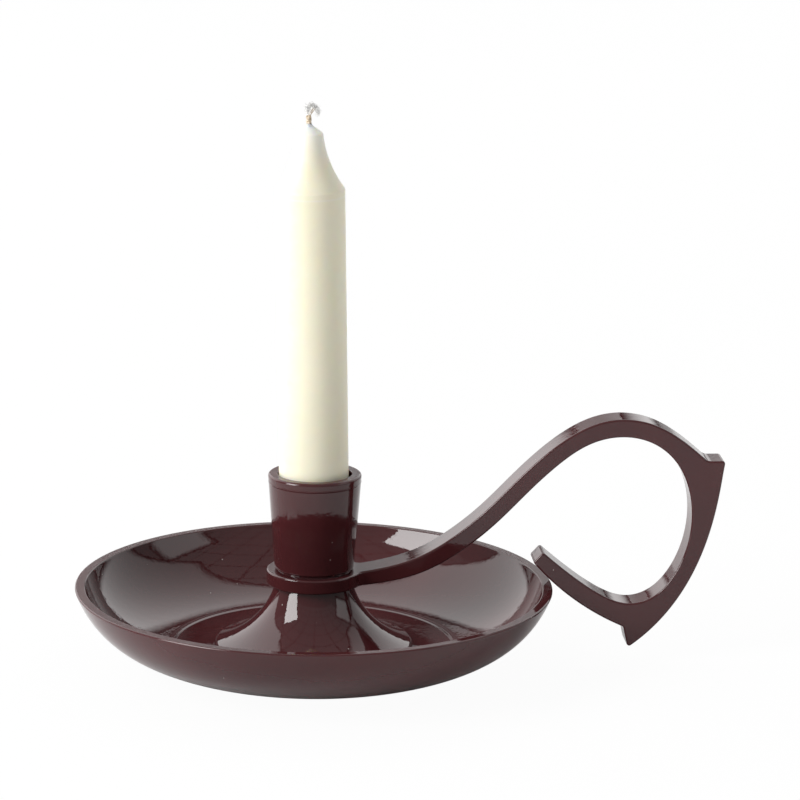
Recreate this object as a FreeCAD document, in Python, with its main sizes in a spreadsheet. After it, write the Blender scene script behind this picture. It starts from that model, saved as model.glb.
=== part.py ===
import FreeCAD, Part
import Sketcher
import os
from types import SimpleNamespace

# Chamberstick: a lacquered drip dish with a turned pedestal, a clamped handle with an open finger loop,
# a candle socket and its candle. One bolt from below holds dish, pedestal, handle and socket together.
#
# Millimetres. +Z is up, and the origin lies on the dish's axis, on the underside of the felt pad.
# +X points along the handle, towards the finger loop.

SIZES = {
    # Dish
    "lip_radius": 75.0,
    "lip_width": 3.35,
    "lip_round": 0.5,
    "dish_height": 25.0,
    "floor_depth": 20.0,
    "floor_radius": 36.0,
    "base_radius": 36.0,
    # Felt pad in its recess under the dish
    "pad_proud": 0.4,
    "pad_recess_depth": 1.0,
    "pad_margin": 3.8,
    "pad_gap": 0.3,
    # Pedestal
    "pedestal_height": 20.8,
    "foot_radius": 31.0,
    "foot_edge_height": 1.9,
    "foot_round": 1.1,
    "neck_radius": 12.1,
    "spigot_radius": 7.0,
    "spigot_end_gap": 0.3,
    # Handle
    "eye_radius": 14.9,
    "eye_thickness": 4.5,
    "bar_thickness": 5.35,
    "bar_depth": 10.4,
    "bar_edge_round": 0.45,
    "spur_notch_round": 3.0,
    "bar_corner_round": 0.9,
    "arm_root_gap": 0.5,
    "arm_root_blend": 1.6,
    "arm_root_round": 3.0,
    "loop_overhang": 18.0,
    "loop_height": 21.0,
    "loop_radius": 27.0,
    "strap_back_radius": 80.2,
    "strap_tip_thickness": 4.5,
    "upper_spur_length": 5.8,
    "lower_spur_length": 6.9,
    # Socket
    "socket_height": 30.9,
    "socket_foot_radius": 12.4,
    "socket_rim_radius": 14.65,
    "socket_rim_round": 0.9,
    "socket_foot_round": 0.8,
    "socket_seat_inset": 0.8,
    "socket_seat_height": 0.35,
    "bore_radius": 11.5,
    "bore_depth": 22.0,
    "bore_mouth_round": 0.4,
    # Clamping bolt
    "bolt_radius": 3.0,
    "bolt_head_radius": 6.0,
    "bolt_length": 35.0,
    "bolt_tip_chamfer": 0.6,
    "bolt_hole_gap": 0.3,
    "bolt_thread_gap": 0.05,
    "tapped_hole_spare": 1.2,
    "running_fit_gap": 0.05,
    # Candle and wick
    "candle_radius": 10.85,
    "candle_straight_length": 111.5,
    "candle_taper_length": 17.3,
    "candle_foot_round": 0.6,
    "crown_radius": 4.35,
    "crown_rise": 2.1,
    "crown_round": 0.6,
    "wax_collar_radius": 1.5,
    "wax_collar_height": 1.0,
    "candle_seat_gap": 0.05,
    "wick_radius": 0.75,
    "wick_gap": 0.03,
    "wick_rise": 3.0,
    "wick_bend_radius": 2.2,
    # Every cut runs this far past what it cuts
    "overrun": 2.0,
}

# Shape of the outlines, as shares of the sizes that they follow.
# Dish wall, (share of the way from the start's radius to the lip, share of the height), from below up.
wall_outside_shares = [(0.53, 0.16), (0.84, 0.365)]
wall_inside_shares = [(0.46, 0.0), (0.85, 0.30)]
# Pedestal flare, (share of the way from the neck out to the foot, share of the height above its edge).
flare_shares = [(0.42, 0.17), (0.10, 0.58)]
# Arm's centre line, (share of the loop's distance, share of its rise, and the way its upper side faces).
arm_line_shares = [
    (0.2980, 0.0348, -0.28, 0.96),
    (0.4347, 0.1584, -0.53, 0.85),
    (0.5809, 0.3779, -0.67, 0.745),
    (0.6841, 0.5957, -0.715, 0.70),
    (0.8028, 0.8187, -0.63, 0.775),
    (0.9316, 0.9876, -0.335, 0.94),
]
arm_rise_share = 1.767
# Loop, in shares of its radius about its centre.
loop_crest_shares = [(0.270, 1.248), (0.722, 1.049)]
upper_notch_share = (1.102, 0.698)
loop_back_shares = [(1.252, 0.470), (1.241, -0.839)]
lower_notch_share = (0.163, -1.289)
lower_spur_lean_share = 0.22
strap_tip_share = (-0.909, -0.496)
strap_tip_facing_shares = (0.68, 0.733)
loop_inside_shares = [
    (0.343, 1.018),
    (0.806, 0.708),
    (0.994, 0.055),
    (0.821, -0.655),
    (0.361, -1.127),
    (-0.153, -0.936),
]
# Candle's concave shoulder, (share of the way in to the crown, share of its length).
shoulder_shares = [(0.42, 0.225), (0.90, 0.55)]
# The candle leans in its socket: shares of the radial play taken up at the rim and at the foot.
rim_lean_share = 0.54
foot_lean_share = 0.175
# The wick turns over by this angle, in degrees.
wick_bend_angle = 125.0


class Length:
    """A length known both by its value and by the expression that ties it to the sheet."""

    def __init__(self, text, value):
        self.text = text
        self.value = value

    def __add__(self, other):
        return Length(f"({self.text} + {other.text})", self.value + other.value)

    def __sub__(self, other):
        return Length(f"({self.text} - {other.text})", self.value - other.value)

    def __mul__(self, share):
        return Length(f"({self.text} * ({share}))", self.value * share)

    def other_leg(self, leg):
        """Give the second leg of a right triangle whose long side is this length."""
        return Length(f"sqrt({self.text}^2 - {leg.text}^2)", (self.value**2 - leg.value**2) ** 0.5)


ON_AXIS = Length("0", 0.0)
size = SimpleNamespace(**{name: Length(f"sizes.{name}", value) for name, value in SIZES.items()})

# Levels up the stack
recess_level = size.pad_proud + size.pad_recess_depth
lip_level = size.pad_proud + size.dish_height
floor_level = lip_level - size.floor_depth
eye_bottom = floor_level + size.pedestal_height
eye_top = eye_bottom + size.eye_thickness
socket_top = eye_top + size.socket_height
bore_floor = socket_top - size.bore_depth

# Distances that follow another piece
pad_radius = size.base_radius - size.pad_margin
loop_distance = size.lip_radius + size.loop_overhang

# Fits between the pieces
bolt_hole_radius = size.bolt_radius + size.bolt_hole_gap
tapped_hole_radius = size.bolt_radius + size.bolt_thread_gap
eye_bore_radius = size.spigot_radius + size.running_fit_gap
bolt_end = recess_level + size.bolt_length
radial_play = size.bore_radius - size.candle_radius


def make_sheet(document):
    """Write every driving size into its own named cell."""
    sheet = document.addObject("Spreadsheet::Sheet", "sizes")
    for row, (name, value) in enumerate(SIZES.items(), start=1):
        sheet.set(f"A{row}", name)
        sheet.set(f"B{row}", str(value))
        sheet.setAlias(f"B{row}", name)
    document.recompute()


def new_body(document, name):
    """Make an empty body that carries one piece of the object."""
    body = document.addObject("PartDesign::Body", name)
    body.Label = name
    return body


def new_sketch(body, name, plane_role):
    """Attach a sketch to one of the body's own origin planes."""
    planes = [feature for feature in body.Origin.OriginFeatures if feature.Role == plane_role]
    sketch = body.newObject("Sketcher::SketchObject", name)
    sketch.AttachmentSupport = [(planes[0], "")]
    sketch.MapMode = "FlatFace"
    return sketch


class Outline:
    """An outline drawn point by point in one sketch, with every point tied to the named sizes."""

    def __init__(self, body, name, plane_role="XZ_Plane"):
        self.sketch = new_sketch(body, name, plane_role)
        self.pen = None
        self.last_end = None
        self.first_end = None

    def hold(self, geometry, end, point):
        """Tie one point of the sketch to its distances from the origin."""
        ties = (("DistanceX", -2, point[0]), ("DistanceY", -1, point[1]))
        for kind, axis, length in ties:
            if length is ON_AXIS:
                self.sketch.addConstraint(Sketcher.Constraint("PointOnObject", geometry, end, axis))
            else:
                tie = Sketcher.Constraint(kind, -1, 1, geometry, end, length.value)
                index = self.sketch.addConstraint(tie)
                self.sketch.setExpression(f"Constraints[{index}]", length.text)

    def begin(self, across, up):
        """Set the pen down at the outline's first point."""
        self.pen = (across, up)
        self.last_end = None

    def join(self, geometry, start_end, far_end, target):
        """Join a new stretch to the one before it, and move the pen to its far end."""
        if self.last_end is None:
            self.hold(geometry, start_end, self.pen)
            self.first_end = (geometry, start_end)
        else:
            self.sketch.addConstraint(Sketcher.Constraint("Coincident", *self.last_end, geometry, start_end))
        self.last_end = (geometry, far_end)
        self.pen = target

    def line_to(self, across, up):
        """Draw a straight stretch."""
        target = (across, up)
        geometry = self.sketch.addGeometry(Part.LineSegment(vector(self.pen), vector(target)), False)
        self.join(geometry, 1, 2, target)
        self.hold(geometry, 2, target)

    def curve_to(self, *poles):
        """Draw a smooth stretch whose shape follows the poles and which ends on the last one."""
        points = [vector(self.pen)] + [vector(pole) for pole in poles]
        curve = Part.BSplineCurve()
        curve.buildFromPoles(points, False, 3)
        geometry = self.sketch.addGeometry(curve, False)
        self.sketch.exposeInternalGeometry(geometry)
        self.join(geometry, 1, 2, poles[-1])
        first_handle = geometry + 2
        for handle, pole in enumerate(poles, start=first_handle):
            self.hold(handle, 3, pole)

    def arc_to(self, across, up, radius, side):
        """Draw an arc of the given radius that bulges to the left (side 1) or the right (side -1)."""
        target = (across, up)
        start = vector(self.pen)
        arc = bulging_arc(start, vector(target), radius.value, side)
        geometry = self.sketch.addGeometry(arc, False)
        near_end, far_end = self.arc_ends(geometry, start)
        self.join(geometry, near_end, far_end, target)
        self.hold(geometry, far_end, target)
        self.hold_radius(geometry, radius)

    def arc_to_first(self, radius, side):
        """Draw an arc back to the outline's first point."""
        first = self.sketch.getPoint(*self.first_end)
        geometry = self.sketch.addGeometry(bulging_arc(vector(self.pen), first, radius.value, side), False)
        near_end, far_end = self.arc_ends(geometry, vector(self.pen))
        self.sketch.addConstraint(Sketcher.Constraint("Coincident", *self.last_end, geometry, near_end))
        self.sketch.addConstraint(Sketcher.Constraint("Coincident", geometry, far_end, *self.first_end))
        self.hold_radius(geometry, radius)

    def arc_ends(self, geometry, start):
        """Tell which end of an arc lies at its start."""
        first_end = self.sketch.getPoint(geometry, 1)
        second_end = self.sketch.getPoint(geometry, 2)
        starts_here = (first_end - start).Length < (second_end - start).Length
        return (1, 2) if starts_here else (2, 1)

    def hold_radius(self, geometry, radius):
        """Tie the radius of an arc or circle to a named size."""
        index = self.sketch.addConstraint(Sketcher.Constraint("Radius", geometry, radius.value))
        self.sketch.setExpression(f"Constraints[{index}]", radius.text)

    def circle(self, radius):
        """Draw a full circle about the sketch's origin."""
        ring = Part.Circle(FreeCAD.Vector(), FreeCAD.Vector(0, 0, 1), radius.value)
        geometry = self.sketch.addGeometry(ring, False)
        self.sketch.addConstraint(Sketcher.Constraint("Coincident", geometry, 3, -1, 1))
        self.hold_radius(geometry, radius)
        return self.sketch

    def close(self):
        """Draw the last straight stretch back to the first point."""
        last = self.sketch.getPoint(*self.last_end)
        first = self.sketch.getPoint(*self.first_end)
        geometry = self.sketch.addGeometry(Part.LineSegment(last, first), False)
        self.sketch.addConstraint(Sketcher.Constraint("Coincident", *self.last_end, geometry, 1))
        self.sketch.addConstraint(Sketcher.Constraint("Coincident", geometry, 2, *self.first_end))
        return self.sketch


def vector(point):
    """Give a pair of lengths as a point of the sketch plane."""
    return FreeCAD.Vector(point[0].value, point[1].value, 0)


def bulging_arc(start, end, radius, side):
    """Make the shorter arc of a radius between two points, bulging left (1) or right (-1) of the way."""
    chord = end - start
    half = chord.Length / 2
    rise = radius - (radius**2 - half**2) ** 0.5
    outward = FreeCAD.Vector(-chord.y, chord.x, 0).normalize() * side
    return Part.Arc(start, (start + end) * 0.5 + outward * rise, end)


def revolve(body, name, sketch):
    """Turn a profile about the vertical axis."""
    turned = body.newObject("PartDesign::Revolution", name)
    turned.Profile = sketch
    turned.ReferenceAxis = (sketch, ["V_Axis"])
    turned.Angle = 360
    body.Document.recompute()
    return turned


def round_edges(body, name, base, edges, radius):
    """Round the chosen edges of a feature."""
    rounded = body.newObject("PartDesign::Fillet", name)
    rounded.Base = (base, edges)
    rounded.setExpression("Radius", radius.text)
    body.Document.recompute()
    return rounded


def rim_edges(feature, *rims):
    """Name the circular edges about the vertical axis at the given radii and levels."""
    found = []
    for number, edge in enumerate(feature.Shape.Edges, start=1):
        box = edge.BoundBox
        for radius, level in rims:
            flat = abs(box.ZMin - level.value) < 1e-4 and abs(box.ZMax - level.value) < 1e-4
            if flat and abs(box.XMax - radius.value) < 1e-4:
                found.append(f"Edge{number}")
    return found


def part_way(start, end, share):
    """Give the length that lies a share of the way from one to another."""
    return start + (end - start) * share


def make_dish(document):
    """Turn the drip dish: pad recess and countersink below, flat floor, curved wall and flat lip."""
    body = new_body(document, "dish")
    recess_radius = pad_radius + size.pad_gap
    lip_inner_radius = size.lip_radius - size.lip_width
    countersink_radius = size.bolt_head_radius + size.running_fit_gap
    countersink_end = recess_level + countersink_radius - bolt_hole_radius
    outside = [
        (part_way(size.base_radius, size.lip_radius, out), part_way(size.pad_proud, lip_level, up))
        for out, up in wall_outside_shares
    ]
    inside = [
        (part_way(size.floor_radius, lip_inner_radius, out), part_way(floor_level, lip_level, up))
        for out, up in wall_inside_shares
    ]
    profile = Outline(body, "dish_profile")
    profile.begin(countersink_radius, recess_level)
    profile.line_to(recess_radius, recess_level)
    profile.line_to(recess_radius, size.pad_proud)
    profile.line_to(size.base_radius, size.pad_proud)
    profile.curve_to(*outside, (size.lip_radius, lip_level))
    profile.line_to(lip_inner_radius, lip_level)
    profile.curve_to(*reversed(inside), (size.floor_radius, floor_level))
    profile.line_to(bolt_hole_radius, floor_level)
    profile.line_to(bolt_hole_radius, countersink_end)
    turned = revolve(body, "dish_turned", profile.close())
    lip_edges = rim_edges(turned, (size.lip_radius, lip_level), (lip_inner_radius, lip_level))
    round_edges(body, "dish_lip_rounds", turned, lip_edges, size.lip_round)
    return body


def make_base_pad(document):
    """Cut the felt disc that fills the recess and stands a little proud of the dish."""
    pad = document.addObject("Part::Cylinder", "base_pad")
    pad.Label = "base_pad"
    pad.setExpression("Radius", pad_radius.text)
    pad.setExpression("Height", recess_level.text)
    return pad


def make_pedestal(document):
    """Turn the flared pedestal, with the spigot that centres the handle's eye."""
    body = new_body(document, "pedestal")
    edge_level = floor_level + size.foot_edge_height
    spigot_end = eye_top - size.spigot_end_gap
    flare = [
        (part_way(size.neck_radius, size.foot_radius, out), part_way(edge_level, eye_bottom, up))
        for out, up in flare_shares
    ]
    profile = Outline(body, "pedestal_profile")
    profile.begin(bolt_hole_radius, floor_level)
    profile.line_to(size.foot_radius, floor_level)
    profile.line_to(size.foot_radius, edge_level)
    profile.curve_to(*flare, (size.neck_radius, eye_bottom))
    profile.line_to(size.spigot_radius, eye_bottom)
    profile.line_to(size.spigot_radius, spigot_end)
    profile.line_to(bolt_hole_radius, spigot_end)
    turned = revolve(body, "pedestal_turned", profile.close())
    foot_edges = rim_edges(turned, (size.foot_radius, edge_level))
    round_edges(body, "pedestal_foot_round", turned, foot_edges, size.foot_round)
    return body


def draw_handle_side(body):
    """Draw the side view of eye, arm, loop, strap and spurs as one outline, from the eye out and back."""
    eye_middle = eye_bottom + size.eye_thickness * 0.5
    loop_level = lip_level + size.loop_height
    arm_rise = size.loop_radius * arm_rise_share
    eye_back = ON_AXIS - size.eye_radius - size.overrun
    root = size.socket_foot_radius + size.arm_root_gap
    blend = root + size.arm_root_blend

    def about_loop(across_share, up_share):
        across = loop_distance + size.loop_radius * across_share
        return (across, loop_level + size.loop_radius * up_share)

    def arm_side(side_share):
        return [
            (
                loop_distance * along + size.bar_thickness * (face_x * side_share),
                eye_middle + arm_rise * up + size.bar_thickness * (face_z * side_share),
            )
            for along, up, face_x, face_z in arm_line_shares
        ]

    upper_notch = about_loop(*upper_notch_share)
    upper_spur_tip = (upper_notch[0] + size.upper_spur_length, upper_notch[1])
    lower_notch = about_loop(*lower_notch_share)
    lower_spur_tip = (
        lower_notch[0] + size.lower_spur_length * lower_spur_lean_share,
        lower_notch[1] - size.lower_spur_length,
    )
    tip_below = about_loop(*strap_tip_share)
    tip_above = (
        tip_below[0] + size.strap_tip_thickness * strap_tip_facing_shares[0],
        tip_below[1] + size.strap_tip_thickness * strap_tip_facing_shares[1],
    )
    crest = [about_loop(*shares) for shares in loop_crest_shares]
    inside = [about_loop(*shares) for shares in reversed(loop_inside_shares)]

    outline = Outline(body, "handle_side_view")
    outline.begin(eye_back, eye_bottom)
    outline.line_to(eye_back, eye_top)
    outline.line_to(root, eye_top)
    outline.curve_to((blend, eye_top), *arm_side(0.5), *crest, upper_notch)
    outline.line_to(*upper_spur_tip)
    outline.curve_to(*[about_loop(*shares) for shares in loop_back_shares], lower_spur_tip)
    outline.line_to(*lower_notch)
    outline.arc_to(*tip_below, size.strap_back_radius, 1)
    outline.line_to(*tip_above)
    outline.curve_to(*inside, *reversed(arm_side(-0.5)), (blend, eye_bottom), (root, eye_bottom))
    return outline.close()


def draw_handle_plan(body):
    """Draw what the plan view trims away: all round the eye and the bar, and the eye's bore."""
    half_depth = size.bar_depth * 0.5
    corner = size.eye_radius.other_leg(half_depth)
    side = size.eye_radius + size.overrun
    far_side = side + size.overrun
    reach = loop_distance + size.loop_radius * upper_notch_share[0] + size.upper_spur_length
    bar_end = reach + size.overrun
    plan = Outline(body, "handle_plan_view", "XY_Plane")
    plan.begin(corner, half_depth)
    plan.line_to(bar_end, half_depth)
    plan.line_to(bar_end, ON_AXIS - half_depth)
    plan.line_to(corner, ON_AXIS - half_depth)
    plan.arc_to(ON_AXIS - size.eye_radius, ON_AXIS, size.eye_radius, 1)
    plan.arc_to_first(size.eye_radius, 1)
    plan.begin(ON_AXIS - far_side, ON_AXIS - far_side)
    plan.line_to(ON_AXIS - far_side, far_side)
    plan.line_to(bar_end + size.overrun, far_side)
    plan.line_to(bar_end + size.overrun, ON_AXIS - far_side)
    plan.close()
    plan.circle(eye_bore_radius)
    return plan.sketch


def make_handle(document):
    """Cast the handle: the flat eye, the S-shaped arm and the open loop with its two spurs."""
    body = new_body(document, "handle")
    blank = body.newObject("PartDesign::Pad", "handle_blank")
    blank.Profile = draw_handle_side(body)
    blank.Midplane = True
    blank.setExpression("Length", (size.eye_radius * 2 + size.overrun).text)
    document.recompute()

    trimmed = body.newObject("PartDesign::Pocket", "handle_trimmed")
    trimmed.Profile = draw_handle_plan(body)
    trimmed.Type = "ThroughAll"
    trimmed.Reversed = True
    document.recompute()

    corner_edges = crosswise_edges(trimmed, False)
    cornered = round_edges(body, "handle_corner_rounds", trimmed, corner_edges, size.bar_corner_round)
    notch_edge = crosswise_edges(cornered, True)
    notched = round_edges(body, "handle_notch_round", cornered, notch_edge, size.spur_notch_round)
    root_edges = upright_edges(notched)
    rooted = round_edges(body, "handle_root_rounds", notched, root_edges, size.arm_root_round)
    round_edges(body, "handle_edge_rounds", rooted, outline_edges(rooted), size.bar_edge_round)
    return body


def crosswise_edges(feature, at_notch):
    """Name the sharp edges that run across the bar: the one in the upper spur's notch, or the others."""
    notch_across = loop_distance.value + size.loop_radius.value * upper_notch_share[0]
    notch_level = lip_level.value + size.loop_height.value + size.loop_radius.value * upper_notch_share[1]
    found = []
    for number, edge in enumerate(feature.Shape.Edges, start=1):
        box = edge.BoundBox
        across = abs(box.YLength - size.bar_depth.value) < 1e-4 and box.XLength < 1e-4 and box.ZLength < 1e-4
        in_notch = abs(box.XMin - notch_across) < 1e-4 and abs(box.ZMin - notch_level) < 1e-4
        if across and in_notch == at_notch and box.XMin > loop_distance.value / 2:
            found.append(f"Edge{number}")
    return found


def upright_edges(feature):
    """Name the two upright edges where the bar's sides meet the eye."""
    found = []
    for number, edge in enumerate(feature.Shape.Edges, start=1):
        box = edge.BoundBox
        upright = box.XLength < 1e-4 and box.YLength < 1e-4 and box.ZLength > size.eye_thickness.value / 2
        if upright and abs(abs(box.YMin) - size.bar_depth.value / 2) < 1e-4:
            found.append(f"Edge{number}")
    return found


def outline_edges(feature):
    """Name every edge round both faces of the bar and round the eye's rim, but not those of its bore."""
    found = []
    for number, edge in enumerate(feature.Shape.Edges, start=1):
        middle = edge.valueAt((edge.FirstParameter + edge.LastParameter) / 2)
        outside_bore = (middle.x**2 + middle.y**2) ** 0.5 > eye_bore_radius.value + size.running_fit_gap.value
        level = edge.BoundBox.ZLength < size.eye_thickness.value / 2
        beside = abs(middle.y) > size.bar_depth.value / 4
        on_eye = middle.x < size.eye_radius.value
        if outside_bore and (beside or on_eye) and (level or not on_eye):
            found.append(f"Edge{number}")
    return found


def make_socket(document):
    """Turn the candle socket: tapered cup, candle bore, and a tapped hole in its solid base."""
    body = new_body(document, "socket")
    seat_radius = size.socket_foot_radius - size.socket_seat_inset
    seat_top = eye_top + size.socket_seat_height
    tapped_end = bolt_end + size.tapped_hole_spare
    profile = Outline(body, "socket_profile")
    profile.begin(tapped_hole_radius, eye_top)
    profile.line_to(seat_radius, eye_top)
    profile.line_to(seat_radius, seat_top)
    profile.line_to(size.socket_foot_radius, seat_top)
    profile.line_to(size.socket_rim_radius, socket_top)
    profile.line_to(size.bore_radius, socket_top)
    profile.line_to(size.bore_radius, bore_floor)
    profile.line_to(ON_AXIS, bore_floor)
    profile.line_to(ON_AXIS, tapped_end)
    profile.line_to(tapped_hole_radius, tapped_end)
    turned = revolve(body, "socket_turned", profile.close())
    rim = round_edges(
        body, "socket_rim_round", turned,
        rim_edges(turned, (size.socket_rim_radius, socket_top)), size.socket_rim_round,
    )
    mouth = round_edges(
        body, "socket_mouth_round", rim,
        rim_edges(rim, (size.bore_radius, socket_top)), size.bore_mouth_round,
    )
    round_edges(
        body, "socket_foot_round", mouth,
        rim_edges(mouth, (size.socket_foot_radius, seat_top)), size.socket_foot_round,
    )
    return body


def make_clamp_bolt(document):
    """Turn the countersunk bolt that clamps the stack from below."""
    body = new_body(document, "clamp_bolt")
    head_end = recess_level + size.bolt_head_radius - size.bolt_radius
    profile = Outline(body, "bolt_profile")
    profile.begin(ON_AXIS, recess_level)
    profile.line_to(size.bolt_head_radius, recess_level)
    profile.line_to(size.bolt_radius, head_end)
    profile.line_to(size.bolt_radius, bolt_end - size.bolt_tip_chamfer)
    profile.line_to(size.bolt_radius - size.bolt_tip_chamfer, bolt_end)
    profile.line_to(ON_AXIS, bolt_end)
    revolve(body, "bolt_turned", profile.close())
    return body


def lean_in_socket(piece):
    """Stand a piece on the socket's floor and lean it by the candle's play, away from the loop."""
    sideways = radial_play * (rim_lean_share + foot_lean_share)
    slope = f"({sideways.text} / {size.bore_depth.text})"
    piece.Placement.Rotation = FreeCAD.Rotation(FreeCAD.Vector(0, -1, 0), 1)
    piece.setExpression("Placement.Base.x", (radial_play * foot_lean_share).text)
    lift = f"{size.candle_radius.text} * {slope}"
    piece.setExpression("Placement.Base.z", f"{(bore_floor + size.candle_seat_gap).text} + {lift}")
    piece.setExpression("Placement.Rotation.Angle", f"atan({slope})")


def make_candle_body(document):
    """Mould the crown candle: straight body, concave shoulder, crown and a collar round the wick."""
    body = new_body(document, "candle_body")
    bore = size.wick_radius + size.wick_gap
    shoulder = size.candle_straight_length
    crown = shoulder + size.candle_taper_length
    crown_top = crown + size.crown_rise
    collar_top = crown_top + size.wax_collar_height
    taper = [
        (part_way(size.candle_radius, size.crown_radius, across), part_way(shoulder, crown, up))
        for across, up in shoulder_shares
    ]
    profile = Outline(body, "candle_profile")
    profile.begin(bore, ON_AXIS)
    profile.line_to(size.candle_radius, ON_AXIS)
    profile.line_to(size.candle_radius, shoulder)
    profile.curve_to(*taper, (size.crown_radius, crown))
    profile.line_to(size.wax_collar_radius, crown_top)
    profile.line_to(size.wax_collar_radius, collar_top)
    profile.line_to(bore, collar_top)
    turned = revolve(body, "candle_turned", profile.close())
    foot = round_edges(
        body, "candle_foot_rounded", turned,
        rim_edges(turned, (size.candle_radius, ON_AXIS)), size.candle_foot_round,
    )
    round_edges(
        body, "candle_crown_rounded", foot,
        rim_edges(foot, (size.crown_radius, crown)), size.crown_round,
    )
    lean_in_socket(body)
    return body


def make_candle_wick(document):
    """Run the wick up through the candle and bend its free end over."""
    body = new_body(document, "candle_wick")
    start = size.candle_foot_round
    collar_top = (
        size.candle_straight_length + size.candle_taper_length + size.crown_rise + size.wax_collar_height
    )
    bend_start = collar_top + size.wick_rise
    bend = size.wick_bend_radius
    turn = FreeCAD.Rotation(FreeCAD.Vector(0, 0, 1), 180 - wick_bend_angle).multVec(FreeCAD.Vector(1, 0, 0))
    path = Outline(body, "wick_path")
    path.begin(ON_AXIS, start)
    path.line_to(ON_AXIS, bend_start)
    path.arc_to(bend + bend * turn.x, bend_start + bend * turn.y, bend, 1)
    section = Outline(body, "wick_section", "XY_Plane").circle(size.wick_radius)
    section.setExpression("AttachmentOffset.Base.z", start.text)
    document.recompute()
    cord = body.newObject("PartDesign::AdditivePipe", "wick_cord")
    cord.Profile = section
    cord.Spine = (path.sketch, ["Edge1", "Edge2"])
    document.recompute()
    lean_in_socket(body)
    return body


def check(document, pieces):
    """Stop if any object failed to build or any piece has no sound shape."""
    for item in document.Objects:
        if "Invalid" in item.State or "Error" in item.State:
            raise RuntimeError(f"{item.Name} did not build: {item.State}")
    for piece in pieces:
        shape = piece.Shape
        if shape.isNull() or not shape.isValid() or len(shape.Solids) != 1:
            raise RuntimeError(f"{piece.Label} has no sound solid")
        print(f"{piece.Label}: {shape.Volume / 1000:.2f} cm3, box {shape.BoundBox}")


def main():
    """Build every piece and write each one to its own file."""
    document = FreeCAD.newDocument("chamberstick")
    make_sheet(document)
    makers = [
        make_dish, make_base_pad, make_pedestal, make_handle, make_socket, make_clamp_bolt,
        make_candle_body, make_candle_wick,
    ]
    pieces = [maker(document) for maker in makers]
    document.recompute()
    check(document, pieces)
    os.makedirs("parts", exist_ok=True)
    for piece in pieces:
        piece.Shape.exportStep(f"parts/{piece.Label}.step")


main()
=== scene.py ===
import logging
import math
from dataclasses import dataclass
from enum import Enum
from typing import Any, Callable, Sequence

import bpy
import numpy as np
from mathutils import Matrix, Vector


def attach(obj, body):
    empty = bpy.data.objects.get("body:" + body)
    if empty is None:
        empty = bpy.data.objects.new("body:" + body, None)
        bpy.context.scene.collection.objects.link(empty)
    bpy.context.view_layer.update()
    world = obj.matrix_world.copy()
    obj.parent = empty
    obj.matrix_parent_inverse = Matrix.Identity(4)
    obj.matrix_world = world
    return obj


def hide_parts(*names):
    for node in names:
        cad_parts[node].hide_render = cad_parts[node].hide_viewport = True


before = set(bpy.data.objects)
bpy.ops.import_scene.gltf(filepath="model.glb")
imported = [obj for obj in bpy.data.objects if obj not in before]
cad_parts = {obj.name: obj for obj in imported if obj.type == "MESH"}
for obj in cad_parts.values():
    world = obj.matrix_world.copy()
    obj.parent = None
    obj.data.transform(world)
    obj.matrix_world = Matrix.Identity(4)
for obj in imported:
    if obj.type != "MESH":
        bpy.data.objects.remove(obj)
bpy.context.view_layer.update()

# Chamberstick: lacquered dish, pedestal, handle and candle cup, a crown candle, and the studio round them.
# Profiles are drawn in millimetres, as on the drawing, and every mesh is written in metres.
# The studio's own places and sizes are in metres, and its angles in degrees.

MILLIMETRE = 0.001
LOG = logging.getLogger("chamberstick")
Point = tuple[float, float]
Color = tuple[float, float, float]

TRACE_SPACING = 0.8
LEAST_TRACED = 12
SAME_POINT = 1e-6
SHARP_ANGLE = math.radians(38)


class BodyName(Enum):
    """The CAD bodies that a piece can ride on."""

    HOLDER = "holder"
    CANDLE = "candle"


class SlotName(Enum):
    """The record's material slots."""

    LACQUER = "burgundy_lacquer"
    FELT = "dark_felt"
    STEEL = "bright_steel"
    WAX = "ivory_wax"
    WICK = "cotton_wick"


# Node writing


class Signal:
    """A node's output that takes part in Python expressions."""

    def __init__(self, plan: "NodePlan", socket: bpy.types.NodeSocket) -> None:
        """Keep the output and the plan that its followers are written in."""
        self.plan = plan
        self.socket = socket

    def math(self, operation: str, *operands: Any) -> "Signal":
        """Feed the operands to a Math node.

        Args:
            operation: The Math node's operation.
            operands: Numbers or signals, in the order of the node's inputs.

        Returns:
            The Math node's result.
        """
        return self.plan.add("ShaderNodeMath", {"operation": operation}, dict(enumerate(operands)))

    def __add__(self, other: Any) -> "Signal":
        """Add a number or signal."""
        return self.math("ADD", self, other)

    def __radd__(self, other: Any) -> "Signal":
        """Add to a number."""
        return self.math("ADD", other, self)

    def __sub__(self, other: Any) -> "Signal":
        """Take away a number or signal."""
        return self.math("SUBTRACT", self, other)

    def __rsub__(self, other: Any) -> "Signal":
        """Take from a number."""
        return self.math("SUBTRACT", other, self)

    def __mul__(self, other: Any) -> "Signal":
        """Multiply by a number or signal."""
        return self.math("MULTIPLY", self, other)

    def __rmul__(self, other: Any) -> "Signal":
        """Multiply a number."""
        return self.math("MULTIPLY", other, self)

    def above(self, level: float, width: float) -> "Signal":
        """Give a soft mask that is 1 where the signal exceeds a level.

        Args:
            level: The signal's value at which the mask is a half.
            width: The span of values over which the mask rises.

        Returns:
            The mask.
        """
        edges = {"From Min": level - width / 2, "From Max": level + width / 2}
        ramp = {"interpolation_type": "SMOOTHSTEP"}
        return self.plan.add("ShaderNodeMapRange", ramp, {"Value": self, **edges})


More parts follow.
